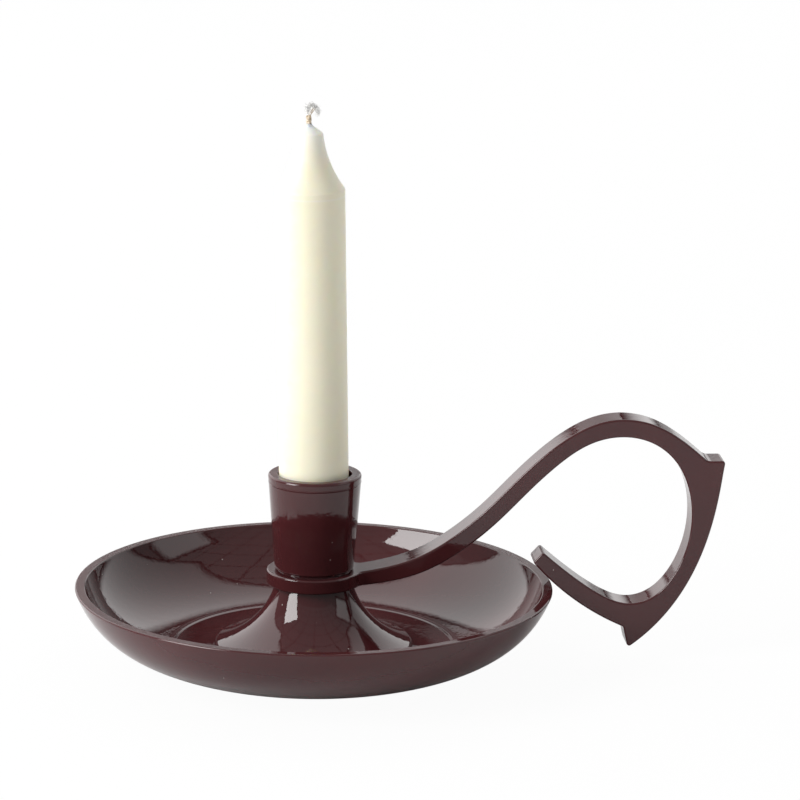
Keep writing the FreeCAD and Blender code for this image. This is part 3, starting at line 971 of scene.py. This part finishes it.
@dataclass
class CandleCup:
    """The tapered candle cup on top of the stack."""

    foot_radius: float = 12.4
    rim_radius: float = 14.65
    rim_round: float = 0.9
    foot_round: float = 0.8
    seat_inset: float = 0.8
    seat_height: float = 0.35
    bore_radius: float = 11.5
    mouth_round: float = 0.4
    tapped_radius: float = 3.05
    tapped_end: float = 37.6
    bead_level: float = 59.0
    bead_half_width: float = 0.4
    bead_height: float = 0.07
    segments: int = 300

    def outline(self) -> Outline:
        """Draw the cup's half section from the bore's floor up, over the rim and down to the seat."""
        lv = LEVELS
        seat_top = lv.eye_top + self.seat_height
        seat_radius = self.foot_radius - self.seat_inset
        drawn = Outline((0.0, lv.bore_floor))
        drawn.line(self.bore_radius, lv.bore_floor)
        drawn.line(self.bore_radius, lv.socket_top, rounding=self.mouth_round)
        drawn.line(self.rim_radius, lv.socket_top, rounding=self.rim_round)
        drawn.line(self.foot_radius, seat_top, rounding=self.foot_round)
        drawn.ridge(1, self.bead_level, self.bead_half_width, self.bead_height)
        drawn.line(seat_radius, seat_top)
        drawn.line(seat_radius, lv.eye_top)
        drawn.line(self.tapped_radius, lv.eye_top)
        drawn.line(self.tapped_radius, self.tapped_end)
        return drawn.line(0.0, self.tapped_end)

    def build(self) -> None:
        """Turn the cup."""
        piece = Lathe.turn("candle_cup", self.outline().traced(), LACQUER, self.segments, False)
        finish_piece(piece, BodyName.HOLDER, ["socket"])


@dataclass
class Handle:
    """The handle: flat eye, S-shaped arm and open loop with two spurs."""

    eye_radius: float = 14.9
    eye_bore_radius: float = 7.05
    bar_thickness: float = 5.35
    bar_depth: float = 10.4
    edge_round: float = 0.60
    notch_round: float = 3.0
    corner_round: float = 0.9
    root: float = 12.9
    root_blend: float = 1.6
    root_round: float = 3.0
    loop_middle: Point = (93.0, 46.4)
    loop_radius: float = 27.0
    strap_back_radius: float = 80.2
    strap_tip_thickness: float = 4.5
    upper_spur: float = 5.8
    lower_spur: float = 6.9
    lower_spur_lean: float = 0.22
    arm_rise: float = loop_radius * 1.767
    arm_line: tuple[tuple[float, float, float, float], ...] = (
        (0.2980, 0.0348, -0.28, 0.96),
        (0.4347, 0.1584, -0.53, 0.85),
        (0.5809, 0.3779, -0.67, 0.745),
        (0.6841, 0.5957, -0.715, 0.70),
        (0.8028, 0.8187, -0.63, 0.775),
        (0.9316, 0.9876, -0.335, 0.94),
    )
    crest: tuple[Point, ...] = ((0.270, 1.248), (0.722, 1.049))
    upper_notch: Point = (1.102, 0.698)
    back: tuple[Point, ...] = ((1.252, 0.470), (1.241, -0.839))
    lower_notch: Point = (0.163, -1.289)
    tip: Point = (-0.909, -0.496)
    tip_facing: Point = (0.68, 0.733)
    inside: tuple[Point, ...] = (
        (0.343, 1.018), (0.806, 0.708), (0.994, 0.055), (0.821, -0.655), (0.361, -1.127), (-0.153, -0.936),
    )
    round_steps: int = 5
    rim_steps: int = 121
    bore_steps: int = 49
    root_steps: int = 14
    least_step: float = 0.03

    def at(self, share: Point) -> Point:
        """Give the point that lies at shares of the loop's radius from its middle."""
        return (self.loop_middle[0] + self.loop_radius * share[0], self.loop_middle[1] + self.loop_radius * share[1])

    def arm_side(self, side: float) -> list[Point]:
        """Give the poles of the arm's upper (0.5) or lower (-0.5) side."""
        middle = (LEVELS.eye_bottom + LEVELS.eye_top) / 2
        return [
            (
                self.loop_middle[0] * along + self.bar_thickness * face_x * side,
                middle + self.arm_rise * up + self.bar_thickness * face_z * side,
            )
            for along, up, face_x, face_z in self.arm_line
        ]

    def half_depth(self, x: float) -> float:
        """Give half the handle's depth at a distance from the dish's axis, seen from above."""
        bar = self.bar_depth / 2
        fillet_y = bar + self.root_round
        fillet_x = math.sqrt((self.eye_radius + self.root_round) ** 2 - fillet_y**2)
        share = self.eye_radius / (self.eye_radius + self.root_round)
        if x >= fillet_x:
            return bar
        if x > fillet_x * share:
            return fillet_y - math.sqrt(self.root_round**2 - (fillet_x - x) ** 2)
        return math.sqrt(max(self.eye_radius**2 - x**2, 0.0))

    def upper_chain(self) -> np.ndarray:
        """Trace the upper and outer side from the root over the loop to the strap's tip."""
        top = LEVELS.eye_top
        notch, low_notch = self.at(self.upper_notch), self.at(self.lower_notch)
        spur_tip = (notch[0] + self.upper_spur, notch[1])
        low_tip = (low_notch[0] + self.lower_spur * self.lower_spur_lean, low_notch[1] - self.lower_spur)
        tip = self.at(self.tip)
        tip_above = self.tip_above()
        corner = self.corner_round
        drawn = Outline((self.root, top))
        crest = [self.at(share) for share in self.crest]
        blend = (self.root + self.root_blend, top)
        drawn.curve(blend, *self.arm_side(0.5), *crest, notch, rounding=self.notch_round)
        drawn.line(*spur_tip, rounding=corner)
        drawn.curve(*[self.at(share) for share in self.back], low_tip, rounding=corner)
        drawn.line(*low_notch, rounding=corner)
        drawn.arc(tip, self.strap_back_radius, 1, rounding=corner)
        drawn.line(*tip_above, rounding=corner)
        bottom = LEVELS.eye_bottom
        inside = [self.at(share) for share in reversed(self.inside)]
        blend_below = (self.root + self.root_blend, bottom)
        drawn.curve(*inside, *reversed(self.arm_side(-0.5)), blend_below, (self.root, bottom))
        return drawn.traced()

    def tip_above(self) -> Point:
        """Give the upper corner of the strap's tip."""
        tip = self.at(self.tip)
        thick = self.strap_tip_thickness
        return (tip[0] + thick * self.tip_facing[0], tip[1] + thick * self.tip_facing[1])

    def stations(self) -> np.ndarray:
        """Give the places along the eye at which its rim and bore are stepped."""
        rim = -self.eye_radius * np.cos(np.linspace(0, math.pi, self.rim_steps))
        bore = -self.eye_bore_radius * np.cos(np.linspace(0, math.pi, self.bore_steps))
        places = np.unique(np.round(np.concatenate([rim[rim < self.root], bore, [self.root]]), 6))
        near = np.abs(np.abs(places) - self.eye_bore_radius) < 1e-5
        close = np.concatenate([[False], np.diff(places) < self.least_step]) & ~near & (places > -self.eye_bore_radius)
        beside = (places > -self.eye_bore_radius - self.edge_round) & (places < -self.eye_bore_radius - 1e-5)
        return places[~close & ~beside]

    def build(self) -> None:
        """Make the handle's mesh and round its edges."""
        chain = self.upper_chain()
        bar_start = math.sqrt((self.eye_radius + self.root_round) ** 2 - (self.bar_depth / 2 + self.root_round) ** 2)
        tip_at = int(np.argmin(np.linalg.norm(chain - np.array(self.tip_above()), axis=1)))
        upper, lower = chain[:tip_at], chain[tip_at:][::-1]
        root_places = np.linspace(self.root, bar_start, self.root_steps)[1:]
        upper_root = np.interp(root_places, upper[:60, 0], upper[:60, 1])
        lower_root = np.interp(root_places, lower[:60, 0], lower[:60, 1])
        upper_bar = upper[np.arange(len(upper)) >= np.argmax(upper[:, 0] > bar_start + 0.2)]
        lower_bar = lower[np.arange(len(lower)) >= np.argmax(lower[:, 0] > bar_start + 0.2)]
        eye = self.stations()
        paired = len(eye) + len(root_places)
        top = np.vstack([
            np.stack([eye, np.full(len(eye), LEVELS.eye_top)], 1), np.stack([root_places, upper_root], 1), upper_bar,
        ])
        low = np.vstack([
            np.stack([eye, np.full(len(eye), LEVELS.eye_bottom)], 1), np.stack([root_places, lower_root], 1),
            lower_bar,
        ])
        piece = self.mesh(top, low, paired)
        finish_piece(piece, BodyName.HOLDER, ["handle"])

    def mesh(self, top: np.ndarray, low: np.ndarray, paired: int) -> bpy.types.Object:
        """Join the two chains into one closed shape.

        Args:
            top: The upper and outer chain, from the eye's far side to the strap's tip.
            low: The lower and inner chain, from the eye's far side to the strap's tip.
            paired: How many leading points of the two chains face each other along the eye and root.

        Returns:
            The handle as a plain mesh.
        """
        corners: list[tuple[float, float, float]] = []
        faces: list[tuple[int, ...]] = []

        def row(chain: np.ndarray, side: int) -> list[int]:
            """Lay a chain's points along one face, and give their numbers."""
            first = len(corners)
            corners.extend((x, side * self.half_depth(x), z) for x, z in chain)
            return list(range(first, first + len(chain)))

        front_top, front_low = row(top, -1), row(low, -1)
        back_top, back_low = row(top, 1), row(low, 1)
        inside = [i for i in range(paired) if abs(top[i, 0]) < self.eye_bore_radius + 1e-4]
        bores: dict[tuple[str, int], list[int]] = {}
        for name, chain in (("top", top), ("low", low)):
            for side in (-1, 1):
                first = len(corners)
                for i in inside:
                    x, z = chain[i]
                    across = math.sqrt(max(self.eye_bore_radius**2 - x**2, 0.0))
                    corners.append((x, side * across, z))
                bores[name, side] = list(range(first, len(corners)))

        def strip(front: list[int], back: list[int], name: str, flip: bool) -> None:
            """Lay the faces between the front and back rows, round the bore."""
            first, last = inside[0], inside[-1]
            near, far = bores[name, -1], bores[name, 1]
            # The far end is one face: cross lines there would be closer than the edges' rounding, and fold it.
            far_end = (*front[:first + 1], near[0], *reversed(back[1:first + 1]))
            faces.append(far_end[::-1] if flip else far_end)
            for i in range(first, len(front) - 1):
                if i < last:
                    k = i - first
                    loops = [(front[i], front[i + 1], near[k + 1], near[k]), (far[k], far[k + 1], back[i + 1], back[i])]
                elif i == last:
                    loops = [(front[i], front[i + 1], back[i + 1], back[i], near[-1])]
                else:
                    loops = [(front[i], front[i + 1], back[i + 1], back[i])]
                faces.extend(loop[::-1] if flip else loop for loop in loops)

        strip(front_top, back_top, "top", False)
        strip(front_low, back_low, "low", True)
        faces.append((front_top[-1], front_low[-1], back_low[-1], back_top[-1]))
        for k in range(len(inside) - 1):
            upper_near, lower_near = bores["top", -1], bores["low", -1]
            upper_far, lower_far = bores["top", 1], bores["low", 1]
            faces.append((upper_near[k], upper_near[k + 1], lower_near[k + 1], lower_near[k]))
            faces.append((lower_far[k], lower_far[k + 1], upper_far[k + 1], upper_far[k]))
        for i in range(paired - 1):
            faces.append((front_low[i], front_low[i + 1], front_top[i + 1], front_top[i]))
            faces.append((back_top[i], back_top[i + 1], back_low[i + 1], back_low[i]))
        start = paired - 1
        faces.append((*front_low[start:], *reversed(front_top[start:])))
        faces.append((*back_top[start:], *reversed(back_low[start:])))
        mesh = bpy.data.meshes.new("looped_handle")
        mesh.from_pydata([tuple(value * MILLIMETRE for value in corner) for corner in corners], [], faces)
        mesh.update()
        rails = set()
        for rail in (front_top, front_low, back_top, back_low):
            rails.update(frozenset(pair) for pair in zip(rail[:-1], rail[1:]))
        rails.add(frozenset((front_top[-1], front_low[-1])))
        rails.add(frozenset((back_top[-1], back_low[-1])))
        weights = mesh.attributes.new("bevel_weight_edge", "FLOAT", "EDGE")
        for edge in mesh.edges:
            weights.data[edge.index].value = 1.0 if frozenset(edge.vertices) in rails else 0.0
        mesh.materials.append(LACQUER.material())
        mesh.polygons.foreach_set("use_smooth", [True] * len(mesh.polygons))
        thing = add_object("looped_handle", mesh)
        weld = thing.modifiers.new("weld", "WELD")
        weld.merge_threshold = SAME_POINT
        bevel = thing.modifiers.new("edges", "BEVEL")
        bevel.limit_method = "WEIGHT"
        bevel.width = self.edge_round * MILLIMETRE
        bevel.segments = self.round_steps
        bevel.use_clamp_overlap = False
        bevel.harden_normals = True
        return settle(thing)


@dataclass
class ClampBolt:
    """The bolt that clamps the stack from below, hidden by the pad."""

    def build(self) -> None:
        """Give the CAD bolt its steel."""
        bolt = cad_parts["clamp_bolt"]
        bolt.data.materials.clear()
        bolt.data.materials.append(STEEL.material())
        LOG.info("clamp_bolt: dressed in steel")


# The candle


@dataclass
class CrownCandle:
    """The candle with its concave shoulder and crown, leaning by its play in the cup."""

    radius: float = 10.85
    straight: float = 111.5
    taper: float = 17.3
    foot_round: float = 0.6
    crown_radius: float = 4.35
    crown_rise: float = 2.1
    crown_round: float = 0.6
    collar_radius: float = 1.5
    collar_height: float = 1.0
    collar_lip: float = 0.12
    collar_throat: Point = (0.15, 0.4)
    collar_skirt: Point = (0.7, 0.35)
    seat_gap: float = 0.05
    play: float = 0.65
    rim_lean: float = 0.54
    foot_lean: float = 0.175
    bore_depth: float = 22.0
    wick_bore: float = 0.78
    shoulder: tuple[Point, ...] = ((0.42, 0.225), (0.90, 0.55))
    segments: int = 192

    def stand(self) -> Matrix:
        """Give the transform that leans the candle in the cup."""
        slope = self.play * (self.rim_lean + self.foot_lean) / self.bore_depth
        lift = LEVELS.bore_floor + self.seat_gap + self.radius * slope
        base = Vector((self.play * self.foot_lean, 0.0, lift)) * MILLIMETRE
        return Matrix.Translation(base) @ Matrix.Rotation(-math.atan(slope), 4, "Y")

    def collar_top(self) -> float:
        """Give the height of the wax collar above the candle's foot."""
        return self.straight + self.taper + self.crown_rise + self.collar_height

    def outline(self) -> Outline:
        """Draw the candle's half section from the wick's bore down the outside to its foot."""
        crown = self.straight + self.taper
        crown_top = crown + self.crown_rise
        taper = [
            (part_way(self.radius, self.crown_radius, across), part_way(self.straight, crown, up))
            for across, up in reversed(self.shoulder)
        ]
        drawn = Outline((self.wick_bore, self.collar_top()))
        drawn.line(self.wick_bore + self.collar_lip, self.collar_top())
        throat = (self.wick_bore + self.collar_throat[0], crown_top + self.collar_throat[1])
        skirt = (self.collar_radius + self.collar_skirt[0], crown_top - self.collar_skirt[1])
        drawn.curve(throat, (self.collar_radius, crown_top), skirt)
        drawn.line(self.crown_radius, crown, rounding=self.crown_round)
        drawn.curve(*taper, (self.radius, self.straight))
        drawn.line(self.radius, 0.0, rounding=self.foot_round)
        drawn.line(self.wick_bore, 0.0)
        return drawn.line(self.wick_bore, self.collar_top())

    def build(self) -> None:
        """Turn the candle and lean it."""
        candle = Lathe.turn("crown_candle", self.outline().traced(closed=True), WAX, self.segments, True)
        candle.data.transform(self.stand())
        finish_piece(candle, BodyName.CANDLE, ["candle_body"])


@dataclass
class Wick:
    """The braided wick: waxed shaft, loose ends and a fluffy tuft that hangs over to one side."""

    sunk: float = 1.5
    rise: float = 2.3
    shaft_strands: int = 3
    shaft_twists: float = 0.9
    shaft_lay: float = 0.42
    shaft_thickness: float = 0.44
    loose_strands: int = 3
    loose_twists: float = 0.35
    loose_lay: float = 0.40
    loose_thickness: float = 0.11
    fibres: int = 300
    fibre_thickness: float = 0.032
    fibre_lengths: Point = (0.9, 1.9)
    scatter: float = 0.62
    spread: float = 1.0
    seed: int = 11
    spacing: float = 0.1
    loose_way: tuple[Point, ...] = ((0.0, 1.5), (0.1, 2.6), (1.0, 3.4), (1.6, 4.9))
    tuft_way: tuple[Point, ...] = (
        (0.1, 3.4), (-1.0, 4.7), (0.1, 5.7), (1.4, 5.6), (2.4, 4.8), (2.8, 3.8), (2.8, 2.9),
    )

    @staticmethod
    def line(name: str, way: np.ndarray, base: float) -> bpy.types.Object:
        """Draw a line of points beside the candle's axis.

        Args:
            name: The object's name.
            way: Pairs of distance to the loop's side and height above the wax collar, in millimetres.
            base: The collar's height above the candle's foot.

        Returns:
            An object that holds the line.
        """
        corners = [(x * MILLIMETRE, 0.0, (base + z) * MILLIMETRE) for x, z in way]
        mesh = bpy.data.meshes.new(name)
        mesh.from_pydata(corners, [(i, i + 1) for i in range(len(corners) - 1)], [])
        return add_object(name, mesh)

    def strand_nodes(self) -> bpy.types.NodeTree:
        """Write the tree that twists strands round a path."""
        plan, (path, strands, twists, lay, thickness, finish) = start_tree("wick_strands", (
            ("Path", "Geometry"), ("Strands", "Int"), ("Twists", "Float"), ("Lay", "Float"), ("Thickness", "Float"),
            ("Finish", "Material"),
        ))
        line = plan.add("GeometryNodeMeshToCurve", None, {0: path})
        fine = plan.add("GeometryNodeResampleCurve", None, {"Curve": line, "Count": 60})
        copies = plan.add("GeometryNodeDuplicateElements", {"domain": "SPLINE"}, {"Geometry": fine, "Amount": strands})
        number = Signal(plan, copies.socket.node.outputs["Duplicate Index"])
        share = plan.add("GeometryNodeSplineParameter", output="Factor")
        angle = (number.math("DIVIDE", number, strands) + share * twists) * (2 * math.pi)
        widths = plan.add("ShaderNodeCombineXYZ", None, {
            0: angle.math("COSINE", angle) * lay, 1: angle.math("SINE", angle) * lay,
        })
        laid = plan.add("GeometryNodeSetPosition", None, {"Geometry": copies, "Offset": widths})
        section = plan.add("GeometryNodeCurvePrimitiveCircle", None, {"Resolution": 10, "Radius": thickness})
        body = plan.add(
            "GeometryNodeCurveToMesh", None, {"Curve": laid, "Profile Curve": section, "Fill Caps": True}
        )
        return end_tree(plan, body, finish)

    def tuft_nodes(self) -> bpy.types.NodeTree:
        """Write the tree that scatters bent fibres along a path."""
        plan, (path, fibres, shortest, longest, scatter, spread, thickness, seed, finish) = start_tree(
            "wick_tuft", (
                ("Path", "Geometry"), ("Fibres", "Int"), ("Shortest", "Float"), ("Longest", "Float"),
                ("Scatter", "Float"), ("Spread", "Float"), ("Thickness", "Float"), ("Seed", "Int"),
                ("Finish", "Material"),
            ))

        def any_way(amount: Signal, shift: int) -> Signal:
            """Draw a random vector of up to the given amount each way."""
            ends = {"Min": (-1.0, -1.0, -1.0), "Max": (1.0, 1.0, 1.0), "Seed": seed + shift}
            drawn = plan.add("FunctionNodeRandomValue", {"data_type": "FLOAT_VECTOR"}, ends)
            return plan.add("ShaderNodeVectorMath", {"operation": "SCALE"}, {0: drawn, "Scale": amount})

        line = plan.add("GeometryNodeMeshToCurve", None, {0: path})
        spots = plan.add("GeometryNodeResampleCurve", None, {"Curve": line, "Count": fibres})
        bent = plan.add("GeometryNodeCurveQuadraticBezier", None, {
            "Resolution": 5, "Start": (0.0, 0.0, -0.5), "Middle": (0.35, 0.0, 0.0), "End": (0.0, 0.0, 0.5),
        })
        section = plan.add("GeometryNodeCurvePrimitiveCircle", None, {"Resolution": 3, "Radius": thickness})
        fibre = plan.add(
            "GeometryNodeCurveToMesh", None, {"Curve": bent, "Profile Curve": section, "Fill Caps": True}
        )
        along = plan.add("GeometryNodeInputTangent")
        way = plan.add("ShaderNodeVectorMath", {"operation": "ADD"}, {0: along, 1: any_way(spread, 0)})
        roll = plan.add("FunctionNodeEulerToRotation", None, {0: any_way(spread * 3.0, 1)})
        facing = plan.add("FunctionNodeAlignRotationToVector", {"axis": "Z"}, {"Rotation": roll, "Vector": way})
        lengths = {"Min_001": shortest, "Max_001": longest, "Seed": seed + 2}
        scale = plan.add("FunctionNodeRandomValue", {"data_type": "FLOAT"}, lengths, "Value_001")
        placed = plan.add("GeometryNodeInstanceOnPoints", None, {
            "Points": spots, "Instance": fibre, "Rotation": facing, "Scale": scale,
        })
        shaken = plan.add("GeometryNodeTranslateInstances", None, {
            "Instances": placed, "Translation": any_way(scatter, 3), "Local Space": False,
        })
        return end_tree(plan, shaken, finish)

    def build(self, candle: CrownCandle) -> None:
        """Lay the strands and the tuft, and lean them with their candle.

        Args:
            candle: The candle that carries the wick.
        """
        base = candle.collar_top()
        strands = self.strand_nodes()
        shaft_way = np.stack([np.zeros(LEAST_TRACED), np.linspace(-self.sunk, self.rise, LEAST_TRACED)], 1)
        shaft = run_tree(self.line("wick_shaft", shaft_way, base), strands, {
            "Strands": self.shaft_strands, "Twists": self.shaft_twists, "Lay": self.shaft_lay * MILLIMETRE,
            "Thickness": self.shaft_thickness * MILLIMETRE, "Finish": WICK_SHAFT.material(),
        })
        loose = run_tree(self.line("wick_loose_ends", spline(self.loose_way, self.spacing), base), strands, {
            "Strands": self.loose_strands, "Twists": self.loose_twists, "Lay": self.loose_lay * MILLIMETRE,
            "Thickness": self.loose_thickness * MILLIMETRE, "Finish": WICK_SHAFT.material(),
        })
        shortest, longest = self.fibre_lengths
        tuft = run_tree(self.line("wick_tuft", spline(self.tuft_way, self.spacing), base), self.tuft_nodes(), {
            "Fibres": self.fibres, "Shortest": shortest * MILLIMETRE, "Longest": longest * MILLIMETRE,
            "Scatter": self.scatter * MILLIMETRE, "Spread": self.spread, "Thickness": self.fibre_thickness,
            "Seed": self.seed, "Finish": WICK_TUFT.material(),
        })
        for piece in (shaft, loose, tuft):
            piece.data.transform(candle.stand())
            finish_piece(piece, BodyName.CANDLE, ["candle_wick"])


# The studio


@dataclass(frozen=True)
class Lamp:
    """A softbox or lit screen, placed and sized in degrees as seen from the object.

    The bearing runs from straight behind the object towards its right side. The brightness goes from left to
    right as seen from the object, where 1 is white paper in full light, and fades over a share of the half size.
    """

    name: str
    bearing: float
    height: float
    width: float
    tall: float
    left: float
    right: float
    fade: float = 0.2


@dataclass
class Studio:
    """The paper sweep, the ceiling, the lamps and the camera."""

    lens: float = 186.41
    sensor: float = 36.0
    camera_place: tuple[float, float, float] = (0.0, -1.24789, 0.38979)
    pitch: float = 13.719
    yaw: float = 1.203
    roll: float = -0.736
    turn: float = -4.0
    sight: float = 20.0
    ambient: float = 0.30
    away: float = 1.6
    aim_level: float = 0.05
    paper_front: float = -4.0
    paper_back: float = 2.3
    paper_top: float = 1.1
    paper_bend: float = 0.5
    paper_half_width: float = 4.0
    paper_gap: float = 0.0001
    ceiling_reach: float = 3.0
    ceiling_level: float = 1.9
    softbox_lamp: Lamp = Lamp("key_softbox", -113.5, 27.0, width=27.0, tall=36.0, left=10.6, right=10.6)
    screens: tuple[Lamp, ...] = (
        Lamp("left_screen", -36.5, 34.0, width=62.0, tall=62.0, left=2.5, right=1.45, fade=0.14),
        Lamp("right_screen", 44.0, 33.0, width=66.0, tall=60.0, left=1.6, right=0.85),
        Lamp("right_window", 104.0, 26.0, width=34.0, tall=28.0, left=1.3, right=1.7, fade=0.35),
    )

    def sweep(self) -> None:
        """Lay the paper: floor in front, wall behind, and a bend between them."""
        drawn = Outline((self.paper_front, -self.paper_gap))
        drawn.line(self.paper_back, -self.paper_gap, rounding=self.paper_bend)
        points = drawn.line(self.paper_back, self.paper_top).traced()
        corners = [(x, y, z) for y, z in points for x in (-self.paper_half_width, self.paper_half_width)]
        faces = [(2 * i, 2 * i + 1, 2 * i + 3, 2 * i + 2) for i in range(len(points) - 1)]
        mesh = bpy.data.meshes.new("paper_sweep")
        mesh.from_pydata(corners, [], faces)
        mesh.materials.append(PAPER.material())
        mesh.polygons.foreach_set("use_smooth", [True] * len(mesh.polygons))
        add_object("paper_sweep", mesh)

    def hang(self, thing: bpy.types.Object, lamp: Lamp) -> None:
        """Hang a softbox or screen so that it faces the object."""
        turn, lift = math.radians(lamp.bearing), math.radians(lamp.height)
        way = Vector((math.sin(turn) * math.cos(lift), math.cos(turn) * math.cos(lift), math.sin(lift)))
        thing.location = Vector((0.0, 0.0, self.aim_level)) + way * self.away
        thing.rotation_euler = way.to_track_quat("Z", "Y").to_euler()

    def half_sizes(self, lamp: Lamp) -> Point:
        """Give a lamp's half width and half height in metres."""
        return tuple(self.away * math.tan(math.radians(angle / 2)) for angle in (lamp.width, lamp.tall))

    def softbox(self, lamp: Lamp) -> None:
        """Hang the softbox."""
        half_width, half_height = self.half_sizes(lamp)
        light = bpy.data.lights.new(lamp.name, "AREA")
        light.shape = "RECTANGLE"
        light.size, light.size_y = 2 * half_width, 2 * half_height
        light.energy = lamp.left * math.pi * light.size * light.size_y
        thing = bpy.data.objects.new(lamp.name, light)
        bpy.context.scene.collection.objects.link(thing)
        self.hang(thing, lamp)

    def screen(self, lamp: Lamp) -> None:
        """Hang one lit screen. Its face looks at the object, so its own left side is seen on the right."""
        half_width, half_height = self.half_sizes(lamp)
        mesh = bpy.data.meshes.new(lamp.name)
        corners = [(x * half_width, y * half_height, 0.0) for x, y in ((-1, -1), (1, -1), (1, 1), (-1, 1))]
        mesh.from_pydata(corners, [], [(0, 3, 2, 1)])
        finish = SoftScreen(lamp.name, lamp.right, lamp.left, half_width, half_height, lamp.fade)
        mesh.materials.append(finish.material())
        thing = add_object(lamp.name, mesh)
        thing.visible_camera = False
        self.hang(thing, lamp)

    def tiles(self) -> None:
        """Hang the dim tiled ceiling that only reflections show."""
        reach, height = self.ceiling_reach, self.ceiling_level
        mesh = bpy.data.meshes.new("tiled_ceiling")
        corners = [(-reach, -reach, height), (-reach, reach, height), (reach, reach, height), (reach, -reach, height)]
        mesh.from_pydata(corners, [], [(0, 1, 2, 3)])
        mesh.materials.append(CeilingTiles("ceiling_tiles").material())
        ceiling = add_object("tiled_ceiling", mesh)
        ceiling.visible_camera = False
        ceiling.visible_diffuse = False
        ceiling.visible_shadow = False
        ceiling.visible_transmission = False

    def world(self) -> None:
        """Make the dim room above, which the camera sees as white."""
        world = bpy.data.worlds.new("room")
        world.use_nodes = True
        world.node_tree.nodes.clear()
        plan = NodePlan(world.node_tree)
        dim, white = (
            plan.add("ShaderNodeBackground", None, {"Color": (1, 1, 1, 1), "Strength": strength})
            for strength in (self.ambient, 1.0)
        )
        camera = plan.add("ShaderNodeLightPath", output="Is Camera Ray")
        seen = plan.add("ShaderNodeMixShader", None, {0: camera, 1: dim, 2: white})
        plan.add("ShaderNodeOutputWorld", None, {"Surface": seen})
        bpy.context.scene.world = world

    def camera(self) -> None:
        """Set up the camera at the photograph's place and angle."""
        pitch, yaw, roll = (math.radians(value) for value in (self.pitch, self.yaw, self.roll))
        ahead = Vector((math.sin(yaw) * math.cos(pitch), math.cos(yaw) * math.cos(pitch), -math.sin(pitch)))
        across = Vector((math.cos(yaw), -math.sin(yaw), 0.0))
        down = ahead.cross(across)
        level = across * math.cos(roll) + down * math.sin(roll)
        upright = down * math.cos(roll) - across * math.sin(roll)
        turned = Matrix((level, -upright, -ahead)).transposed().to_4x4()
        swing = Matrix.Rotation(math.radians(self.turn), 4, "Z")
        data = bpy.data.cameras.new("camera")
        data.lens = self.lens
        data.sensor_width = self.sensor
        data.clip_end = self.sight
        thing = bpy.data.objects.new("camera", data)
        bpy.context.scene.collection.objects.link(thing)
        thing.matrix_world = swing @ Matrix.Translation(self.camera_place) @ turned
        bpy.context.scene.camera = thing

    def build(self) -> None:
        """Set up the whole studio."""
        self.sweep()
        self.world()
        self.tiles()
        self.softbox(self.softbox_lamp)
        for lamp in self.screens:
            self.screen(lamp)
        self.camera()
        bpy.context.scene.view_settings.view_transform = "Standard"
        LOG.info("studio: paper, room, ceiling, softbox, %d screens and camera", len(self.screens))


def main() -> None:
    """Build every sub-assembly in order."""
    logging.basicConfig(level=logging.INFO, format="%(name)s: %(message)s")
    candle = CrownCandle()
    builders: list[tuple[str, Callable[[], None]]] = [
        ("studio", Studio().build),
        ("dish and pad", Dish().build),
        ("pedestal", Pedestal().build),
        ("handle", Handle().build),
        ("candle cup", CandleCup().build),
        ("clamp bolt", ClampBolt().build),
        ("candle", candle.build),
        ("wick", lambda: Wick().build(candle)),
    ]
    for name, build in builders:
        build()
        LOG.info("%s done", name)


if __name__ == "__main__":
    main()
